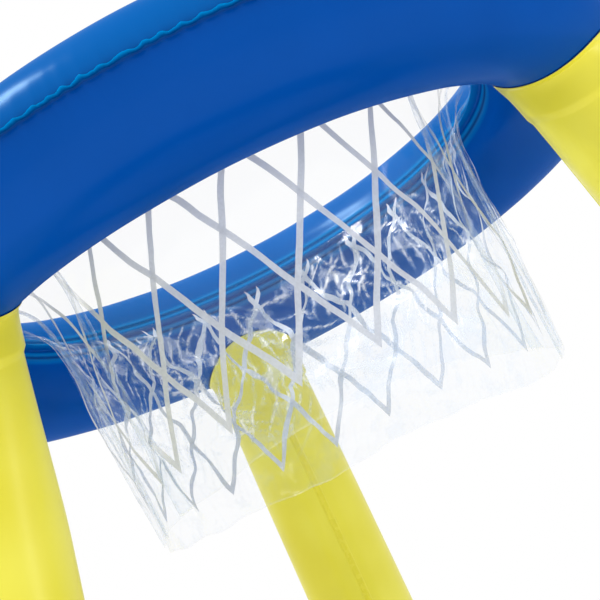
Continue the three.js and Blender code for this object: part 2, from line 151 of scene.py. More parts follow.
class Graph:
    """Adds nodes to one shader or geometry tree."""

    def __init__(self, tree: bpy.types.NodeTree) -> None:
        """Starts from an empty tree."""
        self.tree = tree
        tree.nodes.clear()

    def node(self, kind: str, settings: dict[str, Any] | None = None,
             inputs: dict[str | int, Any] | None = None) -> bpy.types.Node:
        """Adds a node of any type.

        Args:
            kind: The node's type.
            settings: Its own settings, set before its sockets.
            inputs: Values or wires by socket name or number.

        Returns:
            The node.
        """
        node = self.tree.nodes.new(kind)
        for name, value in (settings or {}).items():
            setattr(node, name, value)
        for key, value in (inputs or {}).items():
            self._feed(node.inputs[key], value)
        return node

    def out(self, node: bpy.types.Node, key: str | int = 0) -> Wire:
        """The wire of one of a node's outputs."""
        return Wire(self, node.outputs[key])

    def math(self, operation: str, *values: Wire | float) -> Wire:
        """Adds a Math node.

        Args:
            operation: The node's operation.
            values: Its values, in order.

        Returns:
            The result.
        """
        node = self.node("ShaderNodeMath", {"operation": operation}, dict(enumerate(values)))
        return self.out(node)

    def join(self, x: Wire | float, y: Wire | float, z: Wire | float) -> Wire:
        """Makes a vector of three numbers."""
        return self.out(self.node("ShaderNodeCombineXYZ", inputs={0: x, 1: y, 2: z}))

    def split(self, vector: Wire) -> tuple[Wire, Wire, Wire]:
        """Gives the three numbers of a vector."""
        node = self.node("ShaderNodeSeparateXYZ", inputs={0: vector})
        return self.out(node, 0), self.out(node, 1), self.out(node, 2)

    def _feed(self, socket: bpy.types.NodeSocket, value: Any) -> None:
        """Links a wire to a socket, or sets the socket's own value."""
        if isinstance(value, Wire):
            self.tree.links.new(value.socket, socket)
        elif isinstance(value, bpy.types.Node):
            self.tree.links.new(value.outputs[0], socket)
        elif socket.type == "RGBA" and len(value) == 3:
            socket.default_value = (*value, 1.0)
        else:
            socket.default_value = value


class Shader(Graph):
    """Builds one material around a Principled shader."""

    EDGE_BLEND = 0.3
    EDGE_POWER = 4.5

    def __init__(self, name: str) -> None:
        """Makes an empty material of that name."""
        self.material = bpy.data.materials.new(name)
        self.material.use_nodes = True
        super().__init__(self.material.node_tree)

    def place(self) -> Wire:
        """The object's own coordinates, in metres."""
        return self.out(self.node("ShaderNodeTexCoord"), "Object")

    def attribute(self, name: str) -> Wire:
        """A number that the mesh stores."""
        return self.out(self.node("ShaderNodeAttribute", {"attribute_name": name}), "Fac")

    def noise(self, vector: Wire, size: float, detail: float = 2.0, rough: float = 0.5) -> Wire:
        """Smooth noise.

        Args:
            vector: Where it is read, in metres.
            size: The size of its blotches, in metres.
            detail: How many finer layers it has.
            rough: How strong those are.

        Returns:
            A number about 0.5.
        """
        node = self.node("ShaderNodeTexNoise", inputs={
            "Vector": vector, "Scale": 1 / size, "Detail": detail, "Roughness": rough})
        return self.out(node, "Fac")

    def mix(self, share: Wire | float, low: Wire | RGB, high: Wire | RGB) -> Wire:
        """Mixes two colours by a share from 0 to 1."""
        node = self.node("ShaderNodeMix", {"data_type": "RGBA"}, {0: share, 6: low, 7: high})
        return self.out(node, 2)

    def bump(self, height: Wire, depth: float) -> Wire:
        """Turns a height from 0 to 1 into a normal.

        Args:
            height: The height's share.
            depth: What 1 stands for, in metres.

        Returns:
            The bent normal.
        """
        return self.out(self.node("ShaderNodeBump", inputs={"Height": height, "Distance": depth}))

    def layered(self, body: bpy.types.Node, gloss: bpy.types.Node, edge: float,
                centre: float) -> bpy.types.Material:
        """Ends the material with a gloss over a body.

        Args:
            body: The shader below.
            gloss: The shader above.
            edge: The gloss's share where the surface is seen edge-on.
            centre: Its share where the surface faces the viewer.

        Returns:
            The material.
        """
        weight = self.node("ShaderNodeLayerWeight", inputs={"Blend": self.EDGE_BLEND})
        share = (self.out(weight, "Facing") ** self.EDGE_POWER * edge + centre).clamped()
        both = self.node("ShaderNodeMixShader", inputs={0: share, 1: body, 2: gloss})
        self.node("ShaderNodeOutputMaterial", inputs={"Surface": both})
        return self.material

    def finish(self, sockets: dict[str, Any]) -> bpy.types.Material:
        """Ends the material with a Principled shader.

        Args:
            sockets: Values or wires by the shader's socket names.

        Returns:
            The material.
        """
        shader = self.node("ShaderNodeBsdfPrincipled", inputs=sockets)
        self.node("ShaderNodeOutputMaterial", inputs={"Surface": shader})
        return self.material


@dataclass(frozen=True)
class RingVinyl:
    """Glossy inflated vinyl, with painted glow on thin welded flanges and painted shade by seams.
    """

    name: str
    color: RGB
    weld_glow_color: RGB
    mirror_tint: RGB
    mirror: float = 0.012
    edge_mirror: float = 0.45
    gloss: float = 0.15
    body_rough: float = 0.6
    cloud_size: float = 90 * MM
    cloud_dim: float = 0.88
    scuff_size: float = 7 * MM
    wave_size: float = 26 * MM
    wave_depth: float = 0.25 * MM
    scuff_share: float = 0.2
    scuff_rough: float = 0.08
    cloud_rough: float = 0.05
    shade_dim: float = 0.3
    shade_strength: float = 0.85

    def material(self) -> bpy.types.Material:
        """Builds the material."""
        shader = Shader(self.name)
        place = shader.place()
        clouds = shader.noise(place, self.cloud_size)
        scuffs = shader.noise(place, self.scuff_size, detail=4.0)
        dim = dimmed(self.color, self.cloud_dim)
        plain = shader.mix(clouds.stepped(*SOFT_EDGES), dim, self.color)
        # Painted glow: flanges and weld lines turn towards a paler colour that stands for light
        # shining through the thin vinyl
        weld_glow = shader.mix(shader.attribute("weld").clamped(), plain, self.weld_glow_color)
        shade = (shader.attribute("shade") * self.shade_strength).clamped()
        color = shader.mix(shade, weld_glow, dimmed(self.color, self.shade_dim))
        rough = self.gloss + scuffs * self.scuff_rough + clouds * self.cloud_rough
        waves = shader.noise(place, self.wave_size, detail=1.0) * (1.0 - self.scuff_share)
        normal = shader.bump(waves + scuffs * self.scuff_share, self.wave_depth)
        body = shader.node("ShaderNodeBsdfPrincipled", inputs={
            "Base Color": color, "Roughness": self.body_rough, "Specular IOR Level": 0.0,
            "Normal": normal})
        gloss = shader.node("ShaderNodeBsdfPrincipled", inputs={
            "Base Color": self.mirror_tint, "Metallic": 1.0, "Roughness": rough,
            "Normal": normal})
        return shader.layered(body, gloss, self.edge_mirror, self.mirror)


@dataclass(frozen=True)
class LegVinyl:
    """Semi-gloss inflated vinyl with soft folds and a denser lap seam."""

    name: str
    color: RGB
    deep_color: RGB
    gloss: float = 0.28
    ior: float = 1.5
    tint: RGB = (1.0, 0.97, 0.8)
    cloud_size: float = 70 * MM
    cloud_edges: tuple[float, float] = (0.25, 0.75)
    scuff_size: float = 5 * MM
    scuff_share: float = 0.15
    scuff_rough: float = 0.1
    wave_size: float = 34 * MM
    wave_depth: float = 0.3 * MM
    weld_strength: float = 0.75
    weld_gloss: float = 0.06

    def material(self) -> bpy.types.Material:
        """Builds the material."""
        shader = Shader(self.name)
        place = shader.place()
        clouds = shader.noise(place, self.cloud_size)
        scuffs = shader.noise(place, self.scuff_size, detail=4.0)
        body = shader.mix(clouds.stepped(*self.cloud_edges), self.deep_color, self.color)
        weld = shader.attribute("weld")
        color = shader.mix((weld * self.weld_strength).clamped(), body, self.deep_color)
        rough = self.gloss + scuffs * self.scuff_rough - weld.clamped() * self.weld_gloss
        waves = shader.noise(place, self.wave_size, detail=1.0) * (1.0 - self.scuff_share)
        return shader.finish({
            "Base Color": color,
            "Roughness": rough,
            "IOR": self.ior,
            "Specular Tint": self.tint,
            "Normal": shader.bump(waves + scuffs * self.scuff_share, self.wave_depth),
        })


@dataclass(frozen=True)
class ClearFilm:
    """Clear glossy vinyl film, faintly blue, with painted glints on creases and painted crumple
    sheen.
    """

    name: str
    tint: RGB
    sheen_color: RGB
    crease_color: RGB
    veil: float = 0.035
    crumpled_sheen: float = 0.3
    crease_veil: float = 0.8
    mirror: float = 0.018
    edge_mirror: float = 0.5
    hem_veil: float = 0.14
    gloss: float = 0.07
    body_rough: float = 0.3
    cloud_size: float = 17 * MM
    grain_size: float = 3.5 * MM
    grain_depth: float = 0.06 * MM
    grain_rough: float = 0.06
    sheen_edges: tuple[float, float] = (0.5, 0.62)
    glint_edges: tuple[float, float] = (0.3, 0.62)
    glint_floor: float = 0.1
    glint_white: float = 2.0

    def material(self) -> bpy.types.Material:
        """Builds the material."""
        shader = Shader(self.name)
        place = shader.place()
        crease = shader.attribute("crease")
        crumple = shader.attribute("crumple")
        hem = shader.attribute("hem")
        clouds = shader.noise(place, self.cloud_size, detail=4.0, rough=0.6)
        grain = shader.noise(place, self.grain_size, detail=5.0, rough=0.65)
        # Painted glints: white streaks along the ridges stand in for highlights on the creases
        glint_streaks = (crease * (grain.stepped(*self.glint_edges) + self.glint_floor)).clamped()
        # Painted sheen: cloudy whitish patches on the crumpled film stand in for soft highlights on
        # its facets
        sheen_patches = crumple * clouds.stepped(*self.sheen_edges)
        white = (glint_streaks * self.glint_white + hem).clamped()
        pale = shader.mix(sheen_patches.clamped(), self.tint, self.sheen_color)
        normal = shader.bump(grain, self.grain_depth)
        body = shader.node("ShaderNodeBsdfPrincipled", inputs={
            "Base Color": shader.mix(white, pale, self.crease_color),
            "Roughness": self.body_rough,
            "Alpha": (sheen_patches * self.crumpled_sheen + hem * self.hem_veil
                      + glint_streaks * self.crease_veil + self.veil).clamped(),
            "Normal": normal,
        })
        gloss = shader.node("ShaderNodeBsdfPrincipled", inputs={
            "Base Color": (1.0, 1.0, 1.0), "Metallic": 1.0,
            "Roughness": self.gloss + grain * self.grain_rough, "Normal": normal})
        return shader.layered(body, gloss, self.edge_mirror, self.mirror)


@dataclass(frozen=True)
class Ink:
    """Opaque white ink printed on the film."""

    name: str
    color: RGB
    gloss: float = 0.35
    fading: float = 0.75
    cover: float = 0.84
    grain_size: float = 1.2 * MM
    grain_depth: float = 0.02 * MM
    grain_dim: float = 0.93
    grain_rough: float = 0.2
    grain_cover: float = 0.1

    def material(self) -> bpy.types.Material:
        """Builds the material."""
        shader = Shader(self.name)
        grain = shader.noise(shader.place(), self.grain_size, detail=3.0)
        dim = dimmed(self.color, self.grain_dim)
        kept = 1.0 - shader.attribute("gathered") * self.fading
        return shader.finish({
            "Base Color": shader.mix(grain.stepped(*SOFT_EDGES), dim, self.color),
            "Roughness": self.gloss + grain * self.grain_rough,
            "Alpha": (self.cover + grain * self.grain_cover) * kept,
            "Normal": shader.bump(grain, self.grain_depth),
        })


@dataclass(frozen=True)
class MouldedVinyl:
    """Soft moulded vinyl of the valves, slightly cloudy."""

    name: str
    color: RGB
    gloss: float = 0.32
    ior: float = 1.5
    cloud_size: float = 5 * MM
    cloud_dim: float = 0.85
    grain_size: float = 0.6 * MM
    grain_depth: float = 0.03 * MM
    grain_rough: float = 0.12
    depth: float = 2 * MM
    depth_share: float = 0.15

    def material(self) -> bpy.types.Material:
        """Builds the material."""
        shader = Shader(self.name)
        place = shader.place()
        clouds = shader.noise(place, self.cloud_size, detail=3.0)
        grain = shader.noise(place, self.grain_size, detail=2.0)
        dim = dimmed(self.color, self.cloud_dim)
        return shader.finish({
            "Base Color": shader.mix(clouds.stepped(*SOFT_EDGES), dim, self.color),
            "Roughness": self.gloss + grain * self.grain_rough,
            "IOR": self.ior,
            "Subsurface Weight": self.depth_share,
            "Subsurface Scale": self.depth,
            "Normal": shader.bump(grain, self.grain_depth),
        })


class Body(Enum):
    """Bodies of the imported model."""

    FLOAT = "float"
    STEM = "stem"
    CAP = "cap"
    FLAP = "flap"


class Side(Enum):
    """The two film panels of a ring, with the way each one bulges."""

    UPPER = 1
    LOWER = -1


class Recipe(Graph):
    """A geometry tree with named inputs, whose result is baked to a plain mesh."""

    KINDS = {float: "NodeSocketFloat", int: "NodeSocketInt", tuple: "NodeSocketVector",
             bpy.types.Object: "NodeSocketObject", bpy.types.Material: "NodeSocketMaterial"}
    NOISE_SPREAD = 3.0

    def __init__(self, name: str, values: dict[str, Any]) -> None:
        """Makes a tree with one input for each value.

        Args:
            name: The tree's name.
            values: What each named input is set to.
        """
        super().__init__(bpy.data.node_groups.new(name, "GeometryNodeTree"))
        self.values = values
        face = self.tree.interface
        face.new_socket("Geometry", in_out="OUTPUT", socket_type="NodeSocketGeometry")
        self.keys = {}
        for label, value in values.items():
            kind = self.KINDS[type(value)]
            socket = face.new_socket(label, in_out="INPUT", socket_type=kind)
            self.keys[label] = socket.identifier
        self.given = self.node("NodeGroupInput")

    def size(self, label: str) -> Wire:
        """The wire of a named input."""
        return self.out(self.given, label)

    def position(self) -> Wire:
        """Where each point is."""
        return self.out(self.node("GeometryNodeInputPosition"))

    def stored(self, name: str, kind: str = "FLOAT") -> Wire:
        """A value that the geometry stores under a name."""
        node = self.node("GeometryNodeInputNamedAttribute", {"data_type": kind}, {"Name": name})
        return self.out(node)

    def move(self, geometry: Wire, position: Wire) -> Wire:
        """Puts every point at a position."""
        node = self.node("GeometryNodeSetPosition",
                         inputs={"Geometry": geometry, "Position": position})
        return self.out(node)

    def store(self, geometry: Wire, name: str, value: Wire) -> Wire:
        """Stores a number on every point."""
        node = self.node("GeometryNodeStoreNamedAttribute",
                         {"data_type": "FLOAT", "domain": "POINT"},
                         {"Geometry": geometry, "Name": name, "Value": value})
        return self.out(node)

    def noise(self, vector: Wire, size: Wire | float, detail: float = 1.0) -> Wire:
        """Smooth noise about 0.

        Args:
            vector: Where it is read, in metres.
            size: The size of its blotches, in metres.
            detail: How many finer layers it has.

        Returns:
            A number from about -1 to 1.
        """
        scale = self.math("DIVIDE", 1.0, size)
        node = self.node("ShaderNodeTexNoise",
                         inputs={"Vector": vector, "Scale": scale, "Detail": detail})
        return (self.out(node, 0) - 0.5) * self.NOISE_SPREAD

    def bake(self, name: str, geometry: Wire) -> bpy.types.Object:
        """Ends the tree, gives it its material and turns its result into a mesh.

        Args:
            name: The piece's name.
            geometry: What the tree made. Its input "Material" is put on it.

        Returns:
            The finished piece.
        """
        real = self.node("GeometryNodeRealizeInstances", inputs={0: geometry})
        smooth = self.node("GeometryNodeSetShadeSmooth", inputs={0: real})
        dressed = self.node("GeometryNodeSetMaterial",
                            inputs={"Geometry": smooth, "Material": self.size("Material")})
        self.node("NodeGroupOutput", inputs={0: dressed})
        holder = bpy.data.objects.new(name + "_recipe", bpy.data.meshes.new(name + "_recipe"))
        bpy.context.scene.collection.objects.link(holder)
        modifier = holder.modifiers.new("recipe", "NODES")
        modifier.node_group = self.tree
        for label, value in self.values.items():
            modifier[self.keys[label]] = value
        mesh = evaluated_mesh(holder)
        bpy.data.objects.remove(holder)
        return place_mesh(name, mesh)


def place_mesh(name: str, mesh: bpy.types.Mesh) -> bpy.types.Object:
    """Puts a mesh in the scene under a name, with its object at the origin."""
    mesh.name = name
    piece = bpy.data.objects.new(name, mesh)
    bpy.context.scene.collection.objects.link(piece)
    return piece


def evaluated_mesh(piece: bpy.types.Object) -> bpy.types.Mesh:
    """The plain mesh of a piece with its modifiers applied."""
    bpy.context.view_layer.update()
    evaluated = piece.evaluated_get(bpy.context.evaluated_depsgraph_get())
    return bpy.data.meshes.new_from_object(evaluated)


def apply_modifiers(piece: bpy.types.Object) -> None:
    """Replaces a piece's mesh by the result of its modifiers."""
    mesh = evaluated_mesh(piece)
    piece.modifiers.clear()
    piece.data = mesh


def sheet_mesh(name: str, points: np.ndarray, material: bpy.types.Material,
               uv: np.ndarray | None = None) -> bpy.types.Object:
    """Makes a tube-like sheet from rows of points whose columns close on themselves.

    Args:
        name: The piece's name.
        points: Positions by row, column and axis.
        material: Its material.
        uv: Pairs for each row and column, with one column more than points has.

    Returns:
        The piece, smooth shaded.
    """
    rows, columns, _ = points.shape
    row, column = np.meshgrid(np.arange(rows - 1), np.arange(columns), indexing="ij")
    after = (column + 1) % columns
    faces = np.stack([row * columns + column, (row + 1) * columns + column,
                      (row + 1) * columns + after, row * columns + after], -1).reshape(-1, 4)
    mesh = bpy.data.meshes.new(name)
    mesh.from_pydata(points.reshape(-1, 3).tolist(), [], faces.tolist())
    if uv is not None:
        corners = np.stack([uv[row, column], uv[row + 1, column],
                            uv[row + 1, column + 1], uv[row, column + 1]], -2)
        mesh.uv_layers.new(name="film").data.foreach_set("uv", corners.astype(np.float32).ravel())
    mesh.shade_smooth()
    mesh.materials.append(material)
    return place_mesh(name, mesh)


def store_shares(piece: bpy.types.Object, name: str, shares: np.ndarray) -> None:
    """Stores a number for each point of a piece."""
    layer = piece.data.attributes.new(name, "FLOAT", "POINT")
    layer.data.foreach_set("value", shares.astype(np.float32).ravel())


def smooth_step(value: np.ndarray, low: float, high: float) -> np.ndarray:
    """Rises smoothly from 0 at low to 1 at high."""
    share = np.clip((value - low) / (high - low), 0.0, 1.0)
    return share * share * (3.0 - 2.0 * share)


def settle(piece: bpy.types.Object, body: str, slot: str, *nodes: str) -> None:
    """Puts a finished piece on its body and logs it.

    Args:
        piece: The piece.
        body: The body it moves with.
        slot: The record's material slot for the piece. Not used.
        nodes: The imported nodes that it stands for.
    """
    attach(piece, body)
    if nodes:
        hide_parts(*nodes)
    LOG.info("%s: %d faces on %s", piece.name, len(piece.data.polygons), body)


def close_shell(mesh: bpy.types.Mesh, merge: float | None = None) -> None:
    """Turns a closed mesh's faces outwards.

    Args:
        mesh: The mesh.
        merge: The distance within which points are merged first, if any are.
    """
    shape = bmesh.new()
    shape.from_mesh(mesh)
    if merge is not None:
        bmesh.ops.remove_doubles(shape, verts=shape.verts, dist=merge)
    bmesh.ops.recalc_face_normals(shape, faces=shape.faces)
    shape.to_mesh(mesh)
    shape.free()


def grid_normals(grid: np.ndarray) -> np.ndarray:
    """Outward unit normals of a grid of rows whose columns close on themselves."""
    across = np.roll(grid, -1, 1) - np.roll(grid, 1, 1)
    down = np.gradient(grid, axis=0)
    normals = np.cross(down, across)
    return normals / np.maximum(np.linalg.norm(normals, axis=-1, keepdims=True), 1e-12)


def side_share(bearing: np.ndarray) -> np.ndarray:
    """How far round to the right side a bearing is, from 0 to 1."""
    return np.maximum(0.0, np.sin(bearing)) ** 2


@dataclass
class InflatedRing:
    """A ring of two film panels, welded along an inner and a puckered outer seam."""

    name: str
    radius: float
    tube: float
    centre_z: float
    seam_rise: float
    inner_flange: float
    valve_azimuth: float
    outer_flange: float = 3.5 * MM
    half_gap: float = 0.3 * MM
    pucker_pitch: float = 7 * MM
    pucker_height: float = 1.0 * MM
    pucker_depth: float = 0.45 * MM
    pucker_reach: float = 5 * MM
    pucker_drift: float = 1.6
    ripple_level: float = 0.9
    ripple_dip: float = 1.3
    ripple_swell: float = 0.7
    dimple_level: float = 0.4
    inner_flutter: float = 0.25 * MM
    wave_height: float = 0.35 * MM
    wave_pitch: float = 60 * MM
    calm_reach: float = 6 * MM
    valve_tilt: float = math.radians(60)
    valve_opening: float = 13 * MM
    flange_share: float = 0.05
    column_easing: float = 0.6
    shade_reach: float = 1.1 * MM
    # Distances of the two weld lines from the inner seam
    seam_lines: tuple[float, float] = (3.2 * MM, 7.2 * MM)
    second_line: float = 0.7
    line_width: float = 1.2 * MM
    line_height: float = 0.5 * MM
    # Shares of the painted glow on the weld lines and on the inner flange
    line_glow: float = 0.7
    inner_glow: float = 0.4
    groove_shade: float = 0.8
    # Sizes of the noise that shifts the puckers and of the noise that swells them, in puckers
    drift_size: float = 4.0
    swell_size: float = 0.5
    width_change: float = 0.12
    closing: float = 0.9
    closing_power: float = 6.0
    around: int = 1500
    across: int = 52

    def on_tube(self, azimuth: np.ndarray | float, angle: np.ndarray | float,
                lift: np.ndarray | float) -> np.ndarray:
        """A point above the tube's surface.

        Args:
            azimuth: Angle round the ring's axis, from +X.
            angle: Angle round the tube, 0 outwards and growing upwards.
            lift: Height above the surface.

        Returns:
            Positions, with the axis last.
        """
        reach = self.radius + (self.tube + lift) * np.cos(angle)
        height = self.centre_z + (self.tube + lift) * np.sin(angle)
        return np.stack(np.broadcast_arrays(
            reach * np.cos(azimuth), reach * np.sin(azimuth), height), -1)

    def on_film(self, centre: tuple[float, float], round_by: np.ndarray, along: np.ndarray,
                lift: np.ndarray | float) -> np.ndarray:
        """A point at distances measured on the film from a centre.

        Args:
            centre: Azimuth and tube angle of the centre.
            round_by: Distance round the tube.
            along: Distance along the ring.
            lift: Height above the surface.

        Returns:
            Positions, with the axis last.
        """
        angle = centre[1] + round_by / self.tube
        reach = self.radius + self.tube * np.cos(angle)
        return self.on_tube(centre[0] + along / reach, angle, lift)

    def panel(self, side: Side, material: bpy.types.Material) -> bpy.types.Object:
        """Builds one film panel with its two flanges.

        Args:
            side: Which panel.
            material: Its finish.

        Returns:
            The piece.
        """
        way = float(side.value)
        first = math.asin((self.seam_rise + way * self.half_gap) / self.tube)
        opening = self.on_tube(self.valve_azimuth, self.valve_tilt, 0.0)
        recipe = Recipe(f"{self.name}_panel", {
            "Ring Radius": self.radius, "Tube Radius": self.tube, "Centre Height": self.centre_z,
            "First Angle": first, "Last Angle": way * math.pi - first,
            "Outer Flange": self.outer_flange, "Inner Flange": self.inner_flange,
            "Half Gap": way * self.half_gap, "Pucker Pitch": self.pucker_pitch,
            "Pucker Height": self.pucker_height, "Pucker Depth": self.pucker_depth,
            "Pucker Reach": self.pucker_reach, "Wave Height": self.wave_height,
            "Wave Pitch": self.wave_pitch, "Opening": tuple(opening.tolist()),
            "Opening Radius": self.valve_opening, "Around": self.around + 1,
            "Across": self.across + 1, "Material": material,
        })
        piece = recipe.bake(f"{self.name}_{side.name.lower()}_skin", self._film(recipe))
        if side is Side.LOWER:
            piece.data.flip_normals()
        return piece

    def _line(self, distance: Wire, place: float) -> Wire:
        """A soft line at a distance from a seam, from 0 to 1."""
        off = (distance - place) * (1 / self.line_width)
        return (-(off * off)).math("EXPONENT")

    def _film(self, recipe: Recipe) -> Wire:
        """Adds the nodes that bend a flat grid into a panel.

        Args:
            recipe: The panel's tree.

        Returns:
            The bent film.
        """
        size = recipe.size
        grid = recipe.node("GeometryNodeMeshGrid", inputs={
            "Size X": 1.0, "Size Y": 1.0,
            "Vertices X": size("Around"), "Vertices Y": size("Across")})
        x, y, _ = recipe.split(recipe.position())
        turn = (x + 0.5) * math.tau
        share = y + 0.5
        flange = self.flange_share
        outer = (1.0 - share * (1 / flange)).clamped()
        inner = ((share - (1 - flange)) * (1 / flange)).clamped()
        arc = ((share - flange) * (1 / (1 - 2 * flange))).clamped()
        eased = arc - (arc * math.tau).math("SINE") * (self.column_easing / math.tau)
        angle = size("First Angle") + (size("Last Angle") - size("First Angle")) * eased

        round_x, round_y = turn.math("COSINE"), turn.math("SINE")
        rim = recipe.join(round_x * size("Ring Radius"), round_y * size("Ring Radius"), 0.0)
        drift = recipe.noise(rim, size("Pucker Pitch") * self.drift_size)
        swell = recipe.noise(rim, size("Pucker Pitch") * self.swell_size, detail=2.0)
        count = size("Ring Radius") * math.tau / size("Pucker Pitch")
        half_waves = (count * 0.5).math("ROUND")
        beat = (turn * half_waves + drift * self.pucker_drift).math("SINE").math("ABSOLUTE")
        ripple = self.ripple_level - beat * self.ripple_dip + swell * self.ripple_swell
        from_seam = (angle - size("First Angle")).math("ABSOLUTE") * size("Tube Radius")
        fade = (-(from_seam / size("Pucker Reach"))).math("EXPONENT")
        from_inner = (size("Last Angle") - angle).math("ABSOLUTE") * size("Tube Radius")
        first_line, last_line = self.seam_lines
        lines = (self._line(from_inner, first_line)
                 + self._line(from_inner, last_line) * self.second_line)
        groove = self._line(from_inner, (first_line + last_line) / 2)

        cos, sin = angle.math("COSINE"), angle.math("SINE")
        skin = recipe.join(round_x * (size("Ring Radius") + size("Tube Radius") * cos),
                           round_y * (size("Ring Radius") + size("Tube Radius") * cos),
                           size("Tube Radius") * sin)
        calm = (from_seam * (1 / self.calm_reach)).clamped() * (arc * math.pi).math("SINE")
        waves = recipe.noise(skin, size("Wave Pitch")) * size("Wave Height") * calm
        dimple = (ripple - self.dimple_level) * size("Pucker Depth") * fade * (1.0 - outer)
        reach = size("Tube Radius") + waves + dimple + lines * self.line_height
        width = size("Outer Flange") * (1.0 + swell * self.width_change)
        radius = size("Ring Radius") + reach * cos + width * outer - size("Inner Flange") * inner
        flutter = ripple * size("Pucker Height") * outer + drift * inner * self.inner_flutter
        pressed = outer ** self.closing_power + inner ** self.closing_power
        closing = size("Half Gap") * pressed * self.closing
        height = size("Centre Height") + reach * sin + flutter - closing
        # Painted glow for light shining through the thin flanges and weld lines, stored as weld
        weld_glow = outer + inner * self.inner_glow + lines * self.line_glow
        marked = recipe.store(recipe.out(grid), "weld", weld_glow)
        shade = (-(from_seam * (1 / self.shade_reach))).math("EXPONENT") * (1.0 - outer)
        marked = recipe.store(marked, "shade", shade + groove * self.groove_shade)
        bent = recipe.move(marked, recipe.join(round_x * radius, round_y * radius,
                                               height.math("MAXIMUM", 0.0)))
        merged = recipe.node("GeometryNodeMergeByDistance",
                             inputs={"Geometry": bent, "Distance": SAME_PLACE})
        away = recipe.node("ShaderNodeVectorMath", {"operation": "DISTANCE"},
                           {0: recipe.position(), 1: size("Opening")})
        near = recipe.node("FunctionNodeCompare", {"data_type": "FLOAT", "operation": "LESS_THAN"},
                           {0: recipe.out(away, "Value"), 1: size("Opening Radius")})
        opened = recipe.node("GeometryNodeDeleteGeometry", {"domain": "POINT"},
                             {"Geometry": merged, "Selection": near})
        return recipe.out(opened)

    def build(self, upper: bpy.types.Material, lower: bpy.types.Material) -> None:
        """Builds both panels and puts them on the frame.

        Args:
            upper: The upper panel's finish.
            lower: The lower panel's finish.
        """
        for side, material in ((Side.UPPER, upper), (Side.LOWER, lower)):
            piece = self.panel(side, material)
            settle(piece, Body.FLOAT.value, f"{self.name}_vinyl",
                   f"{self.name}_{side.name.lower()}_panel")


@dataclass(frozen=True)
class Weld:
    """Where one end of a leg is welded to a ring, before the leg is turned to its place.

    Its way is 1 where the ring's tube angle grows outwards, and -1 where it falls.
    """

    ring: InflatedRing
    angle: float
    way: float
    radius: float

    def centre(self) -> np.ndarray:
        """The middle of the weld."""
        return self.ring.on_film((0.0, self.angle), np.float64(0.0), np.float64(0.0), 0.0)

    def loop(self, turns: np.ndarray, radius: np.ndarray | float, lift: float) -> np.ndarray:
        """A loop round the weld, measured on the ring's film.

        Args:
            turns: Angles of its points, 0 outwards.
            radius: Its radius on the film.
            lift: Its height above the film.

        Returns:
            Its points.
        """
        return self.ring.on_film((0.0, self.angle), self.way * radius * np.cos(turns),
                                 radius * np.sin(turns), lift)


